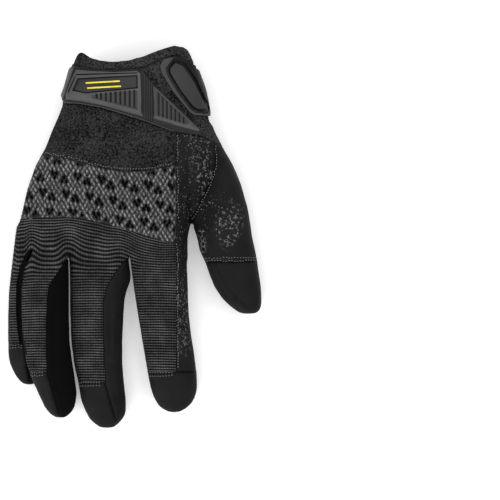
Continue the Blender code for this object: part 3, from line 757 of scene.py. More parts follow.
def makePanel(node, surface):
    number = allNodes.index(node)
    quads = surface["quads"][surface["label"] == number]
    used = np.unique(quads)
    renumber = np.zeros(len(surface["points"]), int)
    renumber[used] = np.arange(len(used))
    panel = meshPiece(camelName(node), surface["points"][used], renumber[quads])
    setAttribute(panel.data, "seam", surface["seamDistance"][used])
    setAttribute(panel.data, "shade", surface["shade"][used])
    outerFaces = len(quads)
    addModifier(panel, "SOLIDIFY", thickness=panelWall, offset=-1, use_rim=True)
    applyModifiers(panel)
    mesh = panel.data
    if isKnit(node):
        # Only the outer faces carry the knit, so only they are made finer
        chosen = np.zeros(len(mesh.polygons), bool)
        chosen[:outerFaces] = True
        editFaces(panel, chosen)
        bpy.ops.mesh.subdivide(number_cuts=1, smoothness=0)
        leaveEdit()
        outer = np.zeros(len(mesh.vertices), bool)
        for polygon in np.nonzero(readAll(mesh.polygons, "select", kind=bool))[0]:
            outer[list(mesh.polygons[polygon].vertices)] = True
    places = getPoints(mesh)
    flow = np.zeros((len(places), 3))
    if node.endswith("_ribs"):
        key = node.split("_")[0]
        flow[:, 0] = places[:, 0]
        flow[:, 1] = ribFlow(places, key)
        ridge = np.abs(np.cos(math.pi * flow[:, 1] / ribs["pitch"])) ** 0.8
        fade = smoothStep(getAttribute(mesh, "seam"), 0.3 * mm, 1.6 * mm)
        # Along the ring finger's edge beside the little finger the ribs are flattened into a groove, and the same
        # mask paints shade there through flow z
        plainShadedStrip = 1 - smoothStep(lineDistance(places, ribs["plainLine"]), 1.1 * mm, 2.0 * mm)
        flow[:, 2] = plainShadedStrip
        relief = ribs["height"] * (ridge - 0.6) * (1 - plainShadedStrip) - ribs["plainDepth"] * plainShadedStrip
        places += getNormals(mesh) * (outer * fade * relief)[:, None]
        setPoints(mesh, places)
    if node == "knuckle_mesh":
        pits, loops = meshKnitting(places[:, 0], meshFlow(places))
        fade = smoothStep(getAttribute(mesh, "seam"), 0.6 * mm, 1.8 * mm)
        low = smoothStep(places[:, 1] - lineY("meshLow", places[:, 0]), 0.2 * mm, 2.2 * mm)
        flow[:, 0], flow[:, 1] = loops, pits * fade * low
        relief = meshKnit["loop"] * (loops - 0.5) - meshKnit["pit"] * pits
        places += getNormals(mesh) * (outer * fade * low * relief)[:, None]
        setPoints(mesh, places)
    if node in printMasks:
        flow = printMask(places, printMasks[node])
    setAttribute(mesh, "flow", flow)
    shadeSmooth(panel)
    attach(panel, "root")
    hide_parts(node)
    return panel


panels = {}
for node in allNodes:
    panels[node] = makePanel(node, skins["ringSkin" if node.startswith("ring_") else "mainSkin"])
tell("panels cut")


# Wrapping: moulded pieces are modelled flat, then laid round the wrist

wrist = {
    "lowY": 58 * mm,
    "highY": 119 * mm,
    "lastY": 108 * mm,
    "middleZ": 23.0 * mm,
    "stepY": 1.0 * mm,
    "stepS": 0.5 * mm,
    "startS": -110 * mm,
    "endS": 150 * mm,
    "endInset": 9 * mm,
}


def wristSection(y):
    # Walks once round the skin at this height: palm, little-finger side, back, thumb side, palm
    tree = skins["mainSkin"]["tree"]
    middleZ = wrist["middleZ"]

    def hit(x, z, dx, dz):
        found = tree.ray_cast(Vector((x, y, z)), Vector((dx, 0, dz)))[0]
        return (found.x, found.z) if found else None

    left = hit(0, middleZ, -1, 0)
    right = hit(0, middleZ, 1, 0)
    x0, x1 = left[0] + wrist["endInset"], right[0] - wrist["endInset"]
    ring = []
    for share in np.linspace(0.55, 0, 24):
        ring.append(hit(x0 + share * (x1 - x0), middleZ, 0, -1))
    for angle in np.linspace(-math.pi / 2, -math.pi * 1.5, 40)[1:-1]:
        ring.append(hit(x0, middleZ, math.cos(angle), math.sin(angle)))
    topStart = len(ring)
    for share in np.linspace(0, 1, 60):
        ring.append(hit(x0 + share * (x1 - x0), middleZ, 0, 1))
    for angle in np.linspace(math.pi / 2, -math.pi / 2, 40)[1:-1]:
        ring.append(hit(x1, middleZ, math.cos(angle), math.sin(angle)))
    for share in np.linspace(1, 0.02, 50):
        ring.append(hit(x0 + share * (x1 - x0), middleZ, 0, -1))
    ring = np.array([place for place in ring if place])
    length = np.concatenate([[0], np.cumsum(np.linalg.norm(np.diff(ring, axis=0), axis=1))])
    # Distance is measured from the back's middle, where x is 0
    top = slice(topStart, topStart + 60)
    zero = np.interp(0, ring[top, 0], length[top])
    return ring, length - zero


def buildWrist():
    rows = np.arange(wrist["lowY"], wrist["highY"], wrist["stepY"])
    distances = np.arange(wrist["startS"], wrist["endS"], wrist["stepS"])
    grid = np.empty((len(rows), len(distances), 2))
    for number, y in enumerate(rows):
        ring, length = wristSection(min(y, wrist["lastY"]))
        grid[number, :, 0] = np.interp(distances, length, ring[:, 0])
        grid[number, :, 1] = np.interp(distances, length, ring[:, 1])
    kernel = np.array([0.25, 0.5, 0.25])
    for axis in range(2):
        for step in range(3):
            padded = np.pad(grid[:, :, axis], ((0, 0), (1, 1)), mode="edge")
            grid[:, :, axis] = sum(k * padded[:, i:i + len(distances)] for i, k in enumerate(kernel))
            padded = np.pad(grid[:, :, axis], ((1, 1), (0, 0)), mode="edge")
            grid[:, :, axis] = sum(k * padded[i:i + len(rows)] for i, k in enumerate(kernel))
    wrist.update(rows=rows, distances=distances, grid=grid)


def onWrist(s, y):
    row = np.clip((y - wrist["rows"][0]) / wrist["stepY"], 0, len(wrist["rows"]) - 1.001)
    column = np.clip((s - wrist["distances"][0]) / wrist["stepS"], 0, len(wrist["distances"]) - 1.001)
    i, j = row.astype(int), column.astype(int)
    a, b = (row - i)[:, None], (column - j)[:, None]
    g = wrist["grid"]
    return (1 - a) * ((1 - b) * g[i, j] + b * g[i, j + 1]) + a * ((1 - b) * g[i + 1, j] + b * g[i + 1, j + 1])


def wrapPiece(piece):
    # Flat x is the distance round the wrist, flat z the height above the skin
    places = getPoints(piece.data)
    s, y, height = places[:, 0], places[:, 1], places[:, 2]
    base = onWrist(s, y)
    step = 0.8 * mm
    tangent = onWrist(s + step, y) - onWrist(s - step, y)
    tangent /= np.maximum(np.linalg.norm(tangent, axis=1, keepdims=True), 1e-9)
    # The walk goes over the back from left to right, so outwards is to its left
    outward = np.stack([-tangent[:, 1], tangent[:, 0]], 1)
    laid = base + outward * height[:, None]
    places[:, 0], places[:, 2] = laid[:, 0], laid[:, 1]
    setPoints(piece.data, places)


def flatBlock(name, low, high, lowZ, highZ):
    # A block with its own outline at its foot and at its top, which gives sloped sides
    bpy.ops.mesh.primitive_circle_add(vertices=len(low), radius=1, fill_type="NGON", location=(0, 0, 0))
    block = bpy.context.object
    block.name = name
    for vertex, (x, y) in zip(block.data.vertices, low):
        vertex.co = (x, y, lowZ)
    editAll(block)
    bpy.ops.mesh.extrude_region_move(TRANSFORM_OT_translate={"value": (0, 0, highZ - lowZ)})
    leaveEdit()
    raised = [vertex for vertex in block.data.vertices if vertex.co.z > (lowZ + highZ) / 2]
    raised.sort(key=lambda vertex: vertex.index)
    for vertex in raised:
        near = np.argmin(np.hypot(low[:, 0] - vertex.co.x, low[:, 1] - vertex.co.y))
        vertex.co.x, vertex.co.y = high[near]
    editAll(block)
    bpy.ops.mesh.normals_make_consistent(inside=False)
    leaveEdit()
    return block


def insetLine(line, amount):
    # Moves each corner of a closed outline inwards
    ahead, behind = np.roll(line, -1, axis=0) - line, line - np.roll(line, 1, axis=0)
    turning = np.sign(np.sum(line[:, 0] * np.roll(line[:, 1], -1) - np.roll(line[:, 0], -1) * line[:, 1]))
    normal = []
    for one in (behind, ahead):
        one = one / np.maximum(np.linalg.norm(one, axis=1, keepdims=True), 1e-9)
        normal.append(np.stack([-one[:, 1], one[:, 0]], 1) * turning)
    mean = normal[0] + normal[1]
    mean /= np.maximum((mean * normal[0]).sum(1, keepdims=True), 0.35)
    return line + mean * (amount[:, None] if isinstance(amount, np.ndarray) else amount)


def gridCut(piece, stepX, stepY):
    # Cuts a flat piece into small faces so that it can follow the wrist
    places = getPoints(piece.data)
    low, high = places.min(0), places.max(0)
    editAll(piece)
    for axis, step in ((0, stepX), (1, stepY)):
        for number in range(1, int((high[axis] - low[axis]) / step) + 1):
            where, way = [0, 0, 0], [0, 0, 0]
            where[axis], way[axis] = low[axis] + number * step, 1
            bpy.ops.mesh.select_all(action="SELECT")
            bpy.ops.mesh.bisect(plane_co=where, plane_no=way)
    bpy.ops.mesh.select_all(action="SELECT")
    bpy.ops.mesh.quads_convert_to_tris()
    leaveEdit()


# Rubber that stands this many millimetres above the cloth gets the lightest painted light
fullHeight = 3.2


def finishMoulded(piece, bevel, tone=0.0):
    # The tone is a number or, where it changes over the piece, a function of the flat places
    sharp = {"limit_method": "ANGLE", "angle_limit": math.radians(32)}
    addModifier(piece, "BEVEL", width=bevel, segments=2, **sharp)
    applyModifiers(piece)
    gridCut(piece, 2.6 * mm, 4.0 * mm)
    # Height above the cloth and the piece's tone offset, for the rubber's painted shade and light; a tone below zero
    # paints the piece lighter
    flat = getPoints(piece.data)
    tones = tone(flat) if callable(tone) else np.full(len(flat), tone)
    setAttribute(piece.data, "flow", np.stack([flat[:, 2] / mm, np.zeros(len(flat)), tones], 1))
    wrapPiece(piece)
    makeActive(piece)
    bpy.ops.object.shade_smooth_by_angle(angle=math.radians(38))


buildWrist()
plate = {
    "base": planLine((77.5, 67), (72, 68), (64, 97), (65.2, 102.5), (84, 104.8), (103, 108.5), (125, 114.8),
                     (146, 122), (160, 127.5), (174, 132.6), (190, 135), (204, 136.5), (197, 129), (181, 112),
                     (160, 92), (150, 80.5), (144.5, 72.5), (138, 70), (115, 71.5), (95, 70)),
    "body": planLine((79.5, 70.5), (95, 72), (115, 73.2), (138, 72), (141.5, 75), (142.5, 100), (145, 118.4),
                     (128, 114.2), (104, 107.4), (84, 103.4), (66.6, 101.2), (69, 95.5), (74, 82)),
    "bodyRim": [0.5, 0.5, 0.5, 0.5, 0.5, 0.4, 3.2, 3.6, 3.9, 4.3, 3.6, 0.9, 0.6],
    "window": planLine((80.6, 79.6), (138.3, 76.6), (138.6, 89.6), (87.8, 94.6), (75.4, 91.7)),
    "grooveSide": planLine((78.0, 77.4), (79.2, 77.4), (72.6, 93.4), (71.4, 93.0)),
    "groove": planLine((79.6, 75.3), (138.2, 73.9), (138.2, 74.9), (79.2, 76.5)),
    "slotX": (98.5, 103.0, 107.6, 112.2, 116.8, 121.4, 126.0, 130.6, 135.2),
    "point": planLine((153.5, 86.5), (158, 90), (180, 111.5), (200, 131), (198, 132.6), (174, 126.5), (153.3, 119.6)),
    "pointRim": [0.4, 0.4, 0.4, 0.4, 1.6, 3.4, 2.4],
    "pointSlotX": (159.2, 163.2, 167.2, 171.2, 175.2, 179.2, 183.2),
    "lip": planLine((66.6, 102.0), (84, 104.1), (103, 107.6), (125, 113.9), (146, 120.9), (160, 126.3), (174, 131.4)),
    "wing": planLine((77.2, 68.0), (72.6, 69.4), (64.6, 96.5), (66.2, 100.6), (68.2, 96.0), (72.8, 82)),
    "wingRim": [0.3, 0.5, 0.5, 0.4, 0.4, 0.3],
    "baseTop": 1.25 * mm,
    "bodyTop": 3.1 * mm,
    "field": planLine((94.0, 96.3), (138.3, 91.9), (138.3, 111.0), (94.0, 99.2)),
    "pointField": planLine((157.2, 92.6), (186.5, 121.0), (186.5, 124.6), (157.2, 115.6)),
    "windowFloor": 1.2 * mm,
    "windowTop": 2.35 * mm,
    "fieldFloor": 2.5 * mm,
    "pointFieldFloor": 2.15 * mm,
    "slotFloor": 1.2 * mm,
}


def slopedBlock(name, outline, rim, lowZ, highZ, palm=False):
    # rim is how far the top edge steps in, corner by corner, in photo points
    low = np.asarray(outline)
    high = insetLine(low, np.array(rim) * view["scale"])
    fine, fineHigh = [], []
    for number in range(len(low)):
        after = (number + 1) % len(low)
        pieces = max(1, int(np.linalg.norm(low[after] - low[number]) / (5 * mm)))
        for step in range(pieces):
            fine.append(low[number] + (low[after] - low[number]) * step / pieces)
            fineHigh.append(high[number] + (high[after] - high[number]) * step / pieces)
    mapped = np.array([flatPoint(place, palm) for place in fine])
    mappedHigh = np.array([flatPoint(place, palm) for place in fineHigh])
    return flatBlock(name, mapped, mappedHigh, lowZ, highZ)


def flatPoint(place, palm=False):
    # From plan to flat; past the glove's edge the flat place runs on round the side
    x, y = place
    row = int(np.clip(round((y - wrist["rows"][0]) / wrist["stepY"]), 0, len(wrist["rows"]) - 1))
    section = wrist["grid"][row]
    right = int(section[:, 0].argmax())
    left = int(section[:right, 0].argmin())
    if palm:
        xs, ss = section[right:, 0][::-1], wrist["distances"][right:][::-1]
    else:
        xs, ss = section[left:right + 1, 0], wrist["distances"][left:right + 1]
    past = max(0.0, x - section[right, 0]) - max(0.0, section[left, 0] - x)
    return np.array([np.interp(x, xs, ss) + past, y])


def hollow(name, outline, floor, rim=-0.1, palm=False):
    # A cutter that widens upwards and reaches past the top of what it cuts
    return slopedBlock(name, outline, [rim] * len(outline), floor, 6 * mm, palm)


def bandPaintedLight(line, width):
    # Painted light: the long lower slope, which faces the key lamp, is painted as light as what stands highest
    edge = np.array([flatPoint(place) for place in line])
    return lambda flat: np.where(lineDistance(flat, edge) < width, flat[:, 2] / (fullHeight * mm) - 0.98, 0)


def makePlate():
    base = slopedBlock("plateBase", plate["base"], [0.35] * len(plate["base"]), 0.15 * mm, plate["baseTop"])
    finishMoulded(base, 0.25 * mm, tone=-0.09)
    body = slopedBlock("plateBody", plate["body"], plate["bodyRim"], 0.6 * mm, plate["bodyTop"])
    cutWith(body, [hollow("field", plate["field"], plate["fieldFloor"])])
    cutters = [hollow("window", plate["window"], plate["windowFloor"], -0.4)]
    cutters += [hollow(name, plate[name], plate["windowFloor"]) for name in ("groove", "grooveSide")]
    for x in plate["slotX"]:
        top = 95.9 - (x - 87.8) * 0.098
        low = 98.3 + (x - 95.0) * 0.262
        outline = planLine((x - 0.95, top), (x + 0.95, top), (x + 0.95, low + 0.4), (x - 0.95, low))
        cutters.append(hollow("slot", outline, plate["slotFloor"]))
    cutWith(body, cutters)
    finishMoulded(body, 0.22 * mm, tone=bandPaintedLight(plate["body"][6:11], 2.9 * mm))
    innerLine = insetLine(plate["window"], 0.75 * view["scale"])
    inner = slopedBlock("plateInner", innerLine, [0.35] * 5, 0.9 * mm, plate["windowTop"])
    finishMoulded(inner, 0.12 * mm, tone=0.14)
    point = slopedBlock("platePoint", plate["point"], plate["pointRim"], 0.6 * mm, 2.7 * mm)
    cutWith(point, [hollow("field", plate["pointField"], plate["pointFieldFloor"])])
    cutters = []
    for x in plate["pointSlotX"]:
        top = 92.5 + (x - 158) * 0.985
        low = 115.8 + (x - 156) * 0.32
        if low - top > 1.2:
            outline = planLine((x - 0.8, top), (x + 0.8, top + 1.5), (x + 0.8, low + 0.2), (x - 0.8, low))
            cutters.append(hollow("slot", outline, plate["slotFloor"]))
    cutWith(point, cutters)
    finishMoulded(point, 0.2 * mm, tone=bandPaintedLight(plate["point"][4:7], 2.5 * mm))
    # The wing leans towards the key lamp, and its tone below zero paints light on it
    wing = slopedBlock("plateWing", plate["wing"], plate["wingRim"], 0.6 * mm, 2.3 * mm)
    finishMoulded(wing, 0.3 * mm, tone=-0.28)
    ridges = []
    for x in (145.4, 147.9, 150.4, 152.4):
        outline = planLine((x - 0.65, 74.5 + (x - 145) * 1.1), (x + 0.65, 75.5 + (x - 145) * 1.1),
                           (x + 0.65, 120.4 + (x - 145) * 0.4), (x - 0.65, 120 + (x - 145) * 0.4))
        ridge = slopedBlock("ridge", outline, [0.25] * 4, 0.8 * mm, 2.0 * mm)
        finishMoulded(ridge, 0.15 * mm, tone=0.04)
        ridges.append(ridge)
    down = np.array((0, -1.15)) * view["scale"]
    # The lip strips along the lower edge face the key lamp, and their tone below zero paints light on them
    for a, b in zip(plate["lip"][:-1], plate["lip"][1:]):
        outline = np.array([a, b, b + down, a + down])
        edge = slopedBlock("plateLip", outline, [0.12] * 4, 0.7 * mm, plate["baseTop"] + 0.5 * mm)
        finishMoulded(edge, 0.12 * mm, tone=-0.3)
        ridges.append(edge)
    piece = joinPieces([base, body, inner, point, wing] + ridges, "wristPlate")
    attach(piece, "root")
    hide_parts("wrist_plate")
    return piece


wristPlate = makePlate()
tell("wrist plate")

strap = {
    "back": planLine((160.1, 67), (163.5, 60.5), (175.7, 57.2), (185, 60.5), (192, 67.5)),
    "backLow": planLine((207.5, 117.0), (193.5, 116.2), (188.6, 112.6), (172.2, 91.7), (161.9, 74.4)),
    "palmTop": [(47.0, 103.5), (36, 103.0), (20, 101.8), (-6, 99.6), (-12, 98.4)],
    "palmTip": [(-19.8, 91.0), (-19.8, 88.0), (-16, 84.2), (-8, 83.2)],
    "palmLow": [(15, 80.6), (35, 78.9), (50, 80.5)],
    "height": 1.7 * mm,
    "gap": 0.35 * mm,
    "palmGroove": [(27, 101.0), (-7, 97.6), (-16.6, 90.6), (-16.6, 88.4), (-13.6, 86.2), (27, 82.2)],
    "palmInner": [(25.8, 99.6), (-6.6, 96.4), (-15.2, 90.0), (-15.2, 88.8), (-13.0, 87.3), (25.8, 83.6)],
    "palmBar": [(22, 94.2), (-5, 92.4), (-7, 90.2), (-5, 88.2), (22, 89.0)],
    "foldX": (31, 34, 37, 40),
    "groove": planLine((165.6, 69.4), (173.2, 60.2), (184.5, 64.8), (195.6, 82), (207.2, 108.9), (205, 113.6),
                       (195, 114.2), (189.6, 110.4), (177.6, 94.2), (166.6, 75.4)),
    "pad": planLine((167.8, 69.8), (174.2, 62.0), (183.2, 66.2), (194.0, 83), (205.4, 108.4), (203, 111.6),
                    (196, 111.6), (191.1, 108.4), (179.4, 92.6), (168.8, 74.8)),
}


def fineLine(line):
    # Four flat places on each stretch of a plan line, which stop short of its far end
    shares = np.linspace(0, 1, 5)[:-1]
    return [flatPoint(a + share * (b - a)) for a, b in zip(line[:-1], line[1:]) for share in shares]


def strapOutline():
    outline = fineLine(strap["back"])
    startS = flatPoint(strap["back"][-1])
    endS = flatPoint(np.array(strap["palmTop"][0]) * mm, palm=True)
    for share in np.linspace(0, 1, 12)[:-1]:
        outline.append(startS + (endS - startS) * share)
    for group in (strap["palmTop"], strap["palmTip"], strap["palmLow"]):
        for x, y in group:
            outline.append(flatPoint(np.array((x, y)) * mm, palm=True))
    startS = outline[-1]
    endS = flatPoint(strap["backLow"][0])
    for share in np.linspace(0, 1, 12)[1:-1]:
        outline.append(startS + (endS - startS) * share)
    outline += fineLine(strap["backLow"])
    outline.append(flatPoint(strap["backLow"][-1]))
    return np.array(outline)


def strapLightAndShade(flat):
    # Painted light along its left rim, which faces the key lamp, and painted shade beyond the groove, where it turns
    # down the side
    rim = np.array([flatPoint(place) for place in strap["backLow"]])[::-1]
    past = flat[:, 0] - np.interp(-flat[:, 1], -rim[:, 1], rim[:, 0])
    return -0.2 + 0.5 * smoothStep(past, 5 * mm, 9 * mm) * (1 - smoothStep(past, 26 * mm, 40 * mm))


def makeStrap():
    outline = strapOutline()
    high = strap["gap"] + strap["height"]
    body = flatBlock("strapBody", outline, insetLine(outline, 0.25 * mm), strap["gap"], high)
    cutWith(body, [hollow("strapGroove", strap["groove"], strap["gap"] + strap["height"] * 0.35, -0.15)])
    grooveFloor = strap["gap"] + strap["height"] * 0.6
    outside, inside = np.array(strap["palmGroove"]) * mm, np.array(strap["palmInner"]) * mm
    for number in range(len(outside) - 1):
        outline = np.array([outside[number], outside[number + 1], inside[number + 1], inside[number]])
        cutWith(body, [hollow("palmGroove", outline, grooveFloor, -0.12, palm=True)])
    finishMoulded(body, 0.3 * mm, tone=strapLightAndShade)
    padLine = insetLine(strap["pad"], 0.5 * view["scale"])
    pad = slopedBlock("strapPad", padLine, [1.3] * len(padLine), strap["gap"] + 0.3 * mm, high + 0.9 * mm)
    finishMoulded(pad, 0.35 * mm, tone=0.31)
    barLine = np.array(strap["palmBar"]) * mm
    bar = slopedBlock("palmBar", barLine, [0.9] * 5, high - 0.3 * mm, high + 0.8 * mm, palm=True)
    finishMoulded(bar, 0.3 * mm)
    pieces = [body, pad, bar]
    for x in strap["foldX"]:
        outline = np.array([(x - 0.8, 83), (x + 0.8, 83), (x + 0.8, 102), (x - 0.8, 102)]) * mm
        rib = slopedBlock("strapRib", outline, [0.5] * 4, high - 0.3 * mm, high + 0.6 * mm, palm=True)
        finishMoulded(rib, 0.2 * mm)
        pieces.append(rib)
    piece = joinPieces(pieces, "wristStrap")
    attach(piece, "root")
    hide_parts("wrist_strap")
    return piece


wristStrap = makeStrap()
tell("wrist strap")

bars = {"top": (88.0, 83.4), "length": 33.0, "width": 1.7, "gap": 3.4, "slope": -0.055}


def makeBars():
    pieces = []
    for row in range(2):
        x, y = bars["top"][0] + row * 1.2, bars["top"][1] + row * (bars["width"] + bars["gap"])
        far = x + bars["length"]
        drop = bars["slope"] * bars["length"]
        outline = planLine((x, y), (far, y + drop), (far, y + drop + bars["width"]), (x, y + bars["width"]))
        bar = slopedBlock("bar", outline, [0.15] * 4, plate["windowTop"] - 0.15 * mm, plate["windowTop"] + 0.3 * mm)
        finishMoulded(bar, 0.12 * mm)
        pieces.append(bar)
    piece = joinPieces(pieces, "plateBars")
    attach(piece, "root")
    return piece


plateBars = makeBars()


# The palm overlay, the pile patch and the pull loop: frame nodes remeshed fine, then given their relief

softCopies = {
    "palm_overlay": {"voxel": 0.55 * mm, "smooth": 6, "slot": "leather_print"},
    "loop_patch": {"voxel": 0.5 * mm, "smooth": 3, "slot": "pile_black"},
    "pull_loop": {"voxel": 0.42 * mm, "smooth": 4, "slot": "webbing_black"},
}


def combRelief(places, pitch):
    # The lines of a honeycomb whose cells are each split in three, so that they look like cubes
    x, y = places[:, 0] / pitch, places[:, 1] / pitch
    nearest = np.full(len(x), 9.0)
    second = np.full(len(x), 9.0)
    dx, dy = np.zeros(len(x)), np.zeros(len(x))
    row = np.round(y / 0.866)
    for step in (-1, 0, 1):
        centreY = (row + step) * 0.866
        offset = 0.5 * ((row + step) % 2)
        for side in (-1, 0, 1):
            centreX = np.round(x - offset) + offset + side
            away = np.hypot(x - centreX, y - centreY)
            second = np.minimum(second, np.maximum(nearest, away))
            closer = away < nearest
            dx, dy = np.where(closer, x - centreX, dx), np.where(closer, y - centreY, dy)
            nearest = np.minimum(nearest, away)
    lineGap = 0.5 * (second - nearest)
    for angle in (90, 210, 330):
        rayX, rayY = math.cos(math.radians(angle)), math.sin(math.radians(angle))
        ahead = dx * rayX + dy * rayY > 0
        lineGap = np.where(ahead, np.minimum(lineGap, np.abs(dx * rayY - dy * rayX)), lineGap)
    return 1 - smoothStep(lineGap, 0.012, 0.06)


def makeSoftCopy(node):
    values = softCopies[node]
    piece = copyNodes(camelName(node), [node], [])
    addModifier(piece, "REMESH", mode="VOXEL", voxel_size=values["voxel"] * 1)
    addModifier(piece, "SMOOTH", factor=0.5, iterations=values["smooth"])
    applyModifiers(piece)
    places = getPoints(piece.data)
    outwards = getNormals(piece.data)
    flow = np.zeros((len(places), 3))
    if node == "palm_overlay":
        comb = combRelief(places, 6.2 * mm)
        wear = 0.5 + 0.5 * softNoise(places, 7 * mm, 6) + 0.4 * softNoise(places, 1.6 * mm, 8)
        flow[:, 0] = comb * np.clip(wear, 0.12, 1)
        rise = 0.2 * mm * comb
    elif node == "loop_patch":
        rise = 0.16 * mm * softNoise(places, 0.9 * mm, 4)
    else:
        cords = np.abs(np.sin(math.pi * places[:, 0] / (1.7 * mm)))
        turn = math.pi * np.floor(places[:, 0] / (1.7 * mm))
        weave = np.sin(2 * math.pi * (places[:, 1] + places[:, 2]) / (1.2 * mm) + turn)
        flow[:, 0] = cords * (0.75 + 0.25 * weave)
        rise = 0.2 * mm * (flow[:, 0] - 0.5)
    setPoints(piece.data, places + outwards * rise[:, None])
    setAttribute(piece.data, "flow", flow)
    shadeSmooth(piece)
    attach(piece, "root")
    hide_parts(node)
    return piece


for node in softCopies:
    panels[node] = makeSoftCopy(node)
    slots[node] = softCopies[node]["slot"]
    tell("%s: %d faces" % (node, len(panels[node].data.polygons)))


# Stitches, laid beside the seams

stitch = {"pitch": 1.8 * mm, "length": 1.0 * mm, "radius": 0.27 * mm, "sink": 0.08 * mm}


def seamChains(surface, first, second):
    # Ordered runs of seam points between two panels
    a, b = allNodes.index(first), allNodes.index(second)
    pairs = surface["seamPairs"]
    match = ((pairs[:, 0] == a) & (pairs[:, 1] == b)) | ((pairs[:, 0] == b) & (pairs[:, 1] == a))
    edges = surface["edges"][surface["seamEdges"][match]]
    links = {}
    for p, q in edges.tolist():
        links.setdefault(p, []).append(q)
        links.setdefault(q, []).append(p)
    chains = []
    while links:
        ends = [p for p in links if len(links[p]) == 1]
        here = ends[0] if ends else next(iter(links))
        chain = [here]
        while links.get(here):
            there = links[here].pop()
            links[there].remove(here)
            if not links[here]:
                del links[here]
            chain.append(there)
            here = there
        if here in links and not links[here]:
            del links[here]
        if len(chain) > 8:
            chains.append(surface["points"][chain])
    return chains


def resample(chain, pitch):
    for step in range(12):
        chain[1:-1] = 0.5 * chain[1:-1] + 0.25 * (chain[:-2] + chain[2:])
    length = np.concatenate([[0], np.cumsum(np.linalg.norm(np.diff(chain, axis=0), axis=1))])
    marks = np.arange(pitch * 0.6, length[-1], pitch)
    return np.stack([np.interp(marks, length, chain[:, axis]) for axis in range(3)], 1)


def stitchPlaces(surface, side, other, offset):
    found = []
    label = allNodes.index(side)
    for chain in seamChains(surface, side, other):
        marks = resample(chain.copy(), stitch["pitch"])
        for number in range(1, len(marks) - 1):
            way = Vector(marks[number + 1] - marks[number - 1]).normalized()
            spot, normal, face, gap = surface["tree"].find_nearest(Vector(marks[number]))
            across = normal.cross(way).normalized()
            probe = surface["tree"].find_nearest(Vector(marks[number]) + across * 1.6 * mm)
            if surface["label"][probe[2]] != label:
                across = -across
            spot, normal, face, gap = surface["tree"].find_nearest(Vector(marks[number]) + across * offset)
            if surface["label"][face] != label:
                continue
            found.append((spot, way, normal))
    return found


def makeStitches(name, places):
    bpy.ops.mesh.primitive_uv_sphere_add(segments=6, ring_count=4, radius=1, location=(0, 0, 0))
    model = bpy.context.object
    shape = getPoints(model.data)
    faces = [list(polygon.vertices) for polygon in model.data.polygons]
    bpy.data.objects.remove(model)
    allPoints, allFaces = [], []
    for spot, way, normal in places:
        side = normal.cross(way).normalized()
        way = side.cross(normal).normalized()
        turn = np.array([way, side, normal])
        size = np.array([stitch["length"] / 2, stitch["radius"], stitch["radius"]])
        base = len(allPoints) * len(shape)
        allPoints.append((shape[:, [2, 0, 1]] * size) @ turn + np.array(spot) + np.array(normal) * stitch["sink"])
        allFaces.extend([[base + corner for corner in face] for face in faces])
    piece = meshPiece(name, np.concatenate(allPoints), allFaces)
    shadeSmooth(piece)
    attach(piece, "root")
    return piece


main, ring = skins["mainSkin"], skins["ringSkin"]
stitchRows = {
    "stitchesBack": [
        (main, "back_panel", "knuckle_mesh", 1.9),
        (main, "side_panel", "back_panel", 1.3), (main, "side_panel", "knuckle_mesh", 1.3),
        (main, "index_side", "index_ribs", 1.3), (main, "side_panel", "index_ribs", 1.3),
        (main, "cuff_back", "back_panel", 1.2),
    ],
    "stitchesFingers": [
        (main, "index_cap", "index_ribs", 0.9), (main, "index_cap", "index_ribs", 2.7),
        (main, "middle_cap", "middle_ribs", 0.9), (main, "middle_cap", "middle_ribs", 2.7),
        (ring, "ring_cap", "ring_ribs", 0.9), (ring, "ring_cap", "ring_ribs", 2.7),
        (main, "little_cap", "little_ribs", 0.9), (main, "little_cap", "little_ribs", 2.7),
    ],
    "stitchesThumb": [
        (main, "thumb_back", "thumb_cap", 1.3), (main, "thumb_back", "thumb_cap", 3.1),
        (main, "thumb_back", "side_panel", 1.2),
    ],
    "stitchesPalm": [
        (main, "palm_leather", "thumb_pad", 1.3), (main, "palm_leather", "thumb_pad", 3.0),
        (main, "palm_hem", "palm_leather", 1.2), (main, "index_pad", "index_cap", 1.2),
        (main, "middle_pad", "middle_cap", 1.2), (ring, "ring_pad", "ring_cap", 1.2),
        (main, "little_pad", "little_cap", 1.2),
    ],
}
stitchPieces = {}
for name, rows in stitchRows.items():
    spots = []
    for surface, side, other, offset in rows:
        spots.extend(stitchPlaces(surface, side, other, offset * mm))
    stitchPieces[name] = makeStitches(name, spots)
    tell("%s: %d" % (name, len(spots)))


# Materials

def newMaterial(name, colour, roughness):
    material = bpy.data.materials.new(name)
    material.use_nodes = True
    shader = material.node_tree.nodes["Principled BSDF"]
    shader.inputs["Base Color"].default_value = (*colour, 1)
    shader.inputs["Roughness"].default_value = roughness
    return material, material.node_tree, shader


def addNode(tree, kind, **settings):
    node = tree.nodes.new("ShaderNode" + kind)
    for key, value in settings.items():
        if key in node.inputs:
            node.inputs[key].default_value = value
        else:
            setattr(node, key, value)
    return node


def math2(tree, operation, a, b=None):
    node = tree.nodes.new("ShaderNodeMath")
    node.operation = operation
    for socket, value in zip(node.inputs, (a, b)):
        if value is None:
            continue
        if isinstance(value, (int, float)):
            socket.default_value = value
        else:
            tree.links.new(value, socket)
    return node.outputs[0]


def times(tree, a, b):
    return math2(tree, "MULTIPLY", a, b)


def plus(tree, a, b):
    return math2(tree, "ADD", a, b)


def minus(tree, a, b):
    return math2(tree, "SUBTRACT", a, b)


def fuzz(tree, value, amount):
    # Grain that swings about zero
    return times(tree, minus(tree, value, 0.5), amount)


def readFlow(tree):
    # The three values that the shaping stages left at each point
    flow = addNode(tree, "Attribute", attribute_name="flow")
    split = addNode(tree, "SeparateXYZ")
    tree.links.new(flow.outputs["Vector"], split.inputs[0])
    return split.outputs


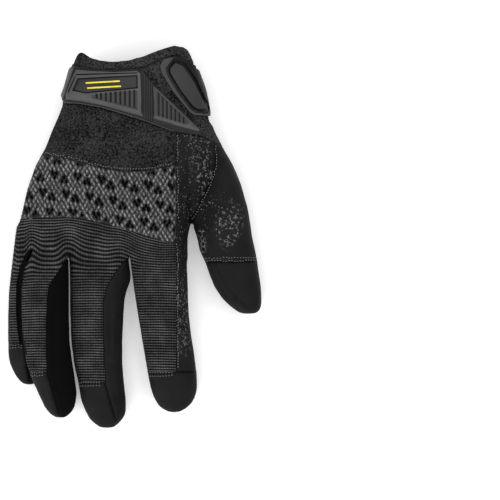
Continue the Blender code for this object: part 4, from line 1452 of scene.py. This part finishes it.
def ramp(tree, value, stops):
    node = tree.nodes.new("ShaderNodeValToRGB")
    elements = node.color_ramp.elements
    while len(elements) < len(stops):
        elements.new(0.5)
    for element, (place, colour) in zip(elements, stops):
        element.position = place
        element.color = (colour, colour, colour * 1.02, 1) if isinstance(colour, float) else (*colour, 1)
    tree.links.new(value, node.inputs[0])
    return node.outputs[0]


def bumpOn(tree, shader, height, strength, distance):
    bump = tree.nodes.new("ShaderNodeBump")
    bump.inputs["Strength"].default_value = strength
    bump.inputs["Distance"].default_value = distance
    tree.links.new(height, bump.inputs["Height"])
    tree.links.new(bump.outputs[0], shader.inputs["Normal"])


def makeGroup(name, inputs, outputs):
    group = bpy.data.node_groups.new(name, "ShaderNodeTree")
    for label, kind, value in inputs:
        socket = group.interface.new_socket(label, in_out="INPUT", socket_type=kind)
        if value is not None:
            socket.default_value = value
    for label, kind in outputs:
        group.interface.new_socket(label, in_out="OUTPUT", socket_type=kind)
    return group, group.nodes.new("NodeGroupInput"), group.nodes.new("NodeGroupOutput")


def grainGroup():
    # Fine pebble or fibre grain from Object coordinates
    group, source, result = makeGroup(
        "grain",
        [("Size", "NodeSocketFloat", 1500.0), ("Patch", "NodeSocketFloat", 60.0)],
        [("Fine", "NodeSocketFloat"), ("Wide", "NodeSocketFloat")],
    )
    place = addNode(group, "TexCoord").outputs["Object"]
    fine = addNode(group, "TexNoise", Detail=3.0)
    wide = addNode(group, "TexNoise", Detail=4.0)
    for node, label in ((fine, "Size"), (wide, "Patch")):
        group.links.new(place, node.inputs["Vector"])
        group.links.new(source.outputs[label], node.inputs["Scale"])
    group.links.new(fine.outputs["Fac"], result.inputs["Fine"])
    group.links.new(wide.outputs["Fac"], result.inputs["Wide"])
    return group


grain = grainGroup()


def useGrain(tree, size, patch):
    node = tree.nodes.new("ShaderNodeGroup")
    node.node_tree = grain
    node.inputs["Size"].default_value = size
    node.inputs["Patch"].default_value = patch
    return node.outputs["Fine"], node.outputs["Wide"]


def plainCloth(name, dark, light, roughness, size, bump, low=0.3, high=0.72):
    material, tree, shader = newMaterial(name, (dark,) * 3, roughness)
    fine, wide = useGrain(tree, size, 70.0)
    mixed = plus(tree, times(tree, fine, 0.75), times(tree, wide, 0.25))
    tree.links.new(ramp(tree, mixed, [(low, dark), (high, light)]), shader.inputs["Base Color"])
    bumpOn(tree, shader, fine, bump, 0.0002)
    shader.inputs["Specular IOR Level"].default_value = 0.06
    return material


def ribCloth():
    material, tree, shader = newMaterial("ribKnit", (0.03,) * 3, 0.9)
    flow = readFlow(tree)
    fine, wide = useGrain(tree, 2600.0, 90.0)
    stitches = math2(tree, "SINE", times(tree, flow[0], 2 * math.pi / 0.00105))
    turn = times(tree, flow[1], math.pi / ribs["pitch"])
    ridge = math2(tree, "ABSOLUTE", math2(tree, "COSINE", turn))
    tone = times(tree, ridge, plus(tree, 0.75, times(tree, stitches, 0.12)))
    tone = plus(tree, tone, fuzz(tree, fine, 0.8))
    tone = plus(tree, tone, fuzz(tree, wide, 0.5))
    # Painted shade: the plain strip beside the little finger is darkened
    tone = minus(tree, tone, times(tree, flow[2], 0.7))
    tree.links.new(ramp(tree, tone, [(0.25, 0.003), (0.62, 0.02), (0.98, 0.14)]), shader.inputs["Base Color"])
    bumpOn(tree, shader, tone, 0.6, 0.0003)
    shader.inputs["Specular IOR Level"].default_value = 0.05
    return material


def meshCloth():
    material, tree, shader = newMaterial("spacerMesh", (0.05,) * 3, 0.9)
    flow = readFlow(tree)
    fine, wide = useGrain(tree, 1500.0, 90.0)
    loops, holes = flow[0], flow[1]
    tone = plus(tree, times(tree, loops, 0.75), fuzz(tree, fine, 0.9))
    clear = math2(tree, "MAXIMUM", minus(tree, 1.0, times(tree, holes, 1.6)), 0.0)
    tone = times(tree, plus(tree, tone, 0.22), clear)
    stops = [(0.1, 0.001), (0.3, 0.035), (0.6, 0.13), (0.98, 0.34)]
    tree.links.new(ramp(tree, tone, stops), shader.inputs["Base Color"])
    bumpOn(tree, shader, tone, 0.5, 0.0004)
    shader.inputs["Specular IOR Level"].default_value = 0.05
    return material


def printGroup():
    # Silicone grip print: worm lines, dots and honeycomb, each where its mask allows
    group, source, result = makeGroup(
        "gripPrint",
        [("Masks", "NodeSocketVector", None)],
        [("Print", "NodeSocketFloat")],
    )
    masks = addNode(group, "SeparateXYZ")
    group.links.new(source.outputs["Masks"], masks.inputs[0])
    place = addNode(group, "TexCoord").outputs["Object"]
    bent = addNode(group, "TexNoise", Scale=420.0, Detail=1.0)
    group.links.new(place, bent.inputs["Vector"])
    amount = addNode(group, "VectorMath", operation="SCALE", Scale=0.0016)
    group.links.new(bent.outputs["Color"], amount.inputs[0])
    moved = addNode(group, "VectorMath", operation="ADD")
    group.links.new(place, moved.inputs[0])
    group.links.new(amount.outputs[0], moved.inputs[1])
    worms = addNode(group, "TexVoronoi", feature="DISTANCE_TO_EDGE", Scale=560.0)
    group.links.new(moved.outputs[0], worms.inputs["Vector"])
    broken = addNode(group, "TexNoise", Scale=520.0, Detail=1.0)
    group.links.new(place, broken.inputs["Vector"])
    line = times(group, ramp(group, worms.outputs["Distance"], [(0.05, 1.0), (0.13, 0.0)]),
                 ramp(group, broken.outputs["Fac"], [(0.54, 0.0), (0.62, 1.0)]))
    dots = addNode(group, "TexVoronoi", feature="F1", Scale=560.0, Randomness=0.9)
    group.links.new(place, dots.inputs["Vector"])
    dot = times(group, ramp(group, dots.outputs["Distance"], [(0.16, 1.0), (0.3, 0.0)]),
                ramp(group, broken.outputs["Fac"], [(0.42, 0.15), (0.6, 1.0)]))
    cells = addNode(group, "TexVoronoi", feature="DISTANCE_TO_EDGE", Scale=300.0, Randomness=0.6)
    group.links.new(place, cells.inputs["Vector"])
    comb = times(group, ramp(group, cells.outputs["Distance"], [(0.03, 1.0), (0.09, 0.0)]),
                 ramp(group, broken.outputs["Fac"], [(0.36, 0.1), (0.58, 1.0)]))
    total = times(group, line, masks.outputs[0])
    total = math2(group, "MAXIMUM", total, times(group, dot, masks.outputs[1]))
    total = math2(group, "MAXIMUM", total, times(group, comb, masks.outputs[2]))
    group.links.new(total, result.inputs["Print"])
    return group


gripPrint = printGroup()


def leather(name, tone, roughness, printed=0.0):
    material, tree, shader = newMaterial(name, (tone,) * 3, roughness)
    fine, wide = useGrain(tree, 1700.0, 55.0)
    shade = ramp(tree, plus(tree, times(tree, wide, 0.6), times(tree, fine, 0.4)),
                 [(0.32, tone * 0.62), (0.7, tone * 1.45)])
    height = fine
    # Painted shade: the colour is darkened where the shade attribute marks seam grooves and dents
    hollow = addNode(tree, "Attribute", attribute_name="shade")
    dim = addNode(tree, "MixRGB")
    dim.inputs[2].default_value = (tone * 0.12, tone * 0.12, tone * 0.12, 1)
    tree.links.new(hollow.outputs["Fac"], dim.inputs[0])
    tree.links.new(shade, dim.inputs[1])
    shade = dim.outputs[0]
    if printed:
        marks = tree.nodes.new("ShaderNodeGroup")
        marks.node_tree = gripPrint
        flow = addNode(tree, "Attribute", attribute_name="flow")
        tree.links.new(flow.outputs["Vector"], marks.inputs["Masks"])
        mix = addNode(tree, "MixRGB")
        mix.inputs[2].default_value = (printed, printed, printed * 1.02, 1)
        tree.links.new(marks.outputs["Print"], mix.inputs[0])
        tree.links.new(shade, mix.inputs[1])
        shade = mix.outputs[0]
        height = plus(tree, times(tree, fine, 0.4), marks.outputs["Print"])
    tree.links.new(shade, shader.inputs["Base Color"])
    bumpOn(tree, shader, height, 0.35, 0.00025)
    shader.inputs["Specular IOR Level"].default_value = 0.08
    return material


def relievedCloth(name, dark, light, size):
    # Cloth whose raised lines are lighter, such as printed leather or webbing
    material, tree, shader = newMaterial(name, (dark,) * 3, 0.85)
    flow = readFlow(tree)
    fine, wide = useGrain(tree, size, 80.0)
    tone = plus(tree, times(tree, flow[0], 0.8), times(tree, fine, 0.3))
    tree.links.new(ramp(tree, tone, [(0.12, dark), (0.95, light)]), shader.inputs["Base Color"])
    bumpOn(tree, shader, fine, 0.4, 0.0002)
    shader.inputs["Specular IOR Level"].default_value = 0.1
    return material


def rubber(name, tone, roughness):
    # Matt moulded rubber, with painted shade in its hollows and painted light on what stands highest
    material, tree, shader = newMaterial(name, (tone,) * 3, roughness)
    fine, wide = useGrain(tree, 2400.0, 45.0)
    flow = readFlow(tree)
    raised = minus(tree, math2(tree, "DIVIDE", flow[0], fullHeight), flow[2])
    shade = plus(tree, raised, fuzz(tree, wide, 0.22))
    shares = ((0.3, 0.04), (0.4, 0.14), (0.52, 0.42), (0.66, 0.8), (0.9, 1.05), (1.0, 1.7))
    stops = [(place, tone * share) for place, share in shares]
    tree.links.new(ramp(tree, shade, stops), shader.inputs["Base Color"])
    rough = plus(tree, roughness - 0.1, times(tree, wide, 0.2))
    tree.links.new(rough, shader.inputs["Roughness"])
    bumpOn(tree, shader, fine, 0.12, 0.00015)
    shader.inputs["Specular IOR Level"].default_value = 0.15
    return material


def yellowPrint():
    material, tree, shader = newMaterial("yellowPrint", (0.75, 0.62, 0.02), 0.5)
    fine, wide = useGrain(tree, 1400.0, 160.0)
    worn = plus(tree, times(tree, fine, 0.6), times(tree, wide, 0.4))
    stops = [(0.34, (0.5, 0.4, 0.01)), (0.5, (0.8, 0.66, 0.02)), (0.66, (0.95, 0.8, 0.08))]
    tree.links.new(ramp(tree, worn, stops), shader.inputs["Base Color"])
    bumpOn(tree, shader, fine, 0.2, 0.00015)
    return material


materials = {
    "knit_black": plainCloth("collarKnit", 0.001, 0.052, 0.92, 950.0, 1.0, 0.4, 0.63),
    "softshell_black": plainCloth("softshell", 0.001, 0.036, 0.88, 900.0, 0.7, 0.4, 0.63),
    "rib_knit": ribCloth(),
    "mesh_grey": meshCloth(),
    "leather_black": leather("plainLeather", 0.0075, 0.62),
    "leather_print": leather("printedLeather", 0.0085, 0.64, 0.15),
    # Painted shade: a much darker copy of the plain leather for the ring and little finger side walls
    "leather_shaded": leather("sidewallLeather", 0.0006, 0.85),
    "leather_overlay": relievedCloth("overlayPrint", 0.011, 0.17, 1700.0),
    "webbing_black": relievedCloth("webbing", 0.006, 0.03, 1300.0),
    "pile_black": plainCloth("loopPile", 0.006, 0.05, 0.95, 1100.0, 1.0),
    "rubber_grey": rubber("mouldedRubber", 0.047, 0.5),
}
finishes = {
    "ring_side": "leather_shaded",
    "thumb_back": "leather_print",
    "little_side": "leather_shaded",
    "palm_overlay": "leather_overlay",
}
for node, panel in panels.items():
    paint(panel, materials[finishes.get(node, slots[node])])
for piece in (wristPlate, wristStrap):
    paint(piece, materials["rubber_grey"])
thread = plainCloth("thread", 0.1, 0.27, 0.75, 2600.0, 0.5)
for piece in stitchPieces.values():
    paint(piece, thread)
paint(plateBars, yellowPrint())
tell("materials")

# Stage, light and camera

bpy.ops.mesh.primitive_plane_add(size=6, location=(0.0746, -0.0093, 0))
floor = makeActive(bpy.context.object)
bpy.ops.object.transform_apply(location=True, rotation=True, scale=True)
floor.name = "floor"
floorMaterial, floorTree, floorShader = newMaterial("floorWhite", (0.96, 0.96, 0.96), 0.95)
floorShader.inputs["Emission Color"].default_value = (1, 1, 1, 1)
floorShader.inputs["Emission Strength"].default_value = 0.2
paint(floor, floorMaterial)

centre = plan(250, 250)
cameraData = bpy.data.cameras.new("camera")
camera = newObject("camera", cameraData)
camera.location = (centre[0], centre[1], view["height"])
cameraData.sensor_width = view["sensor"]
cameraData.lens = view["sensor"] * view["height"] / (view["across"] * view["scale"])
bpy.context.scene.camera = camera

lamps = {
    "keyLamp": {"place": (-0.95, -1.0, 0.8), "size": 1.3, "energy": 17.0},
    "fillLamp": {"place": (0.9, 0.6, 1.1), "size": 1.2, "energy": 7.0},
    "topLamp": {"place": (0.1, 0.0, 6.0), "size": 6.0, "energy": 170.0},
}
for name, lamp in lamps.items():
    light = bpy.data.lights.new(name, "AREA")
    light.size = lamp["size"]
    light.energy = lamp["energy"]
    lampPiece = newObject(name, light)
    lampPiece.location = lamp["place"]
    lampPiece.rotation_euler = Vector(lamp["place"]).to_track_quat("Z", "Y").to_euler()
world = bpy.data.worlds.new("studio")
bpy.context.scene.world = world
world.use_nodes = True
world.node_tree.nodes["Background"].inputs[0].default_value = (1, 1, 1, 1)
world.node_tree.nodes["Background"].inputs[1].default_value = 0.5
bpy.context.scene.view_settings.view_transform = "Standard"

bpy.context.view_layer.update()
pieces = [piece for piece in bpy.data.objects if piece.type == "MESH" and piece.name[0].islower()]
total = sum(len(polygon.vertices) - 2 for piece in pieces for polygon in piece.data.polygons)
tell("%d triangles in all" % total)
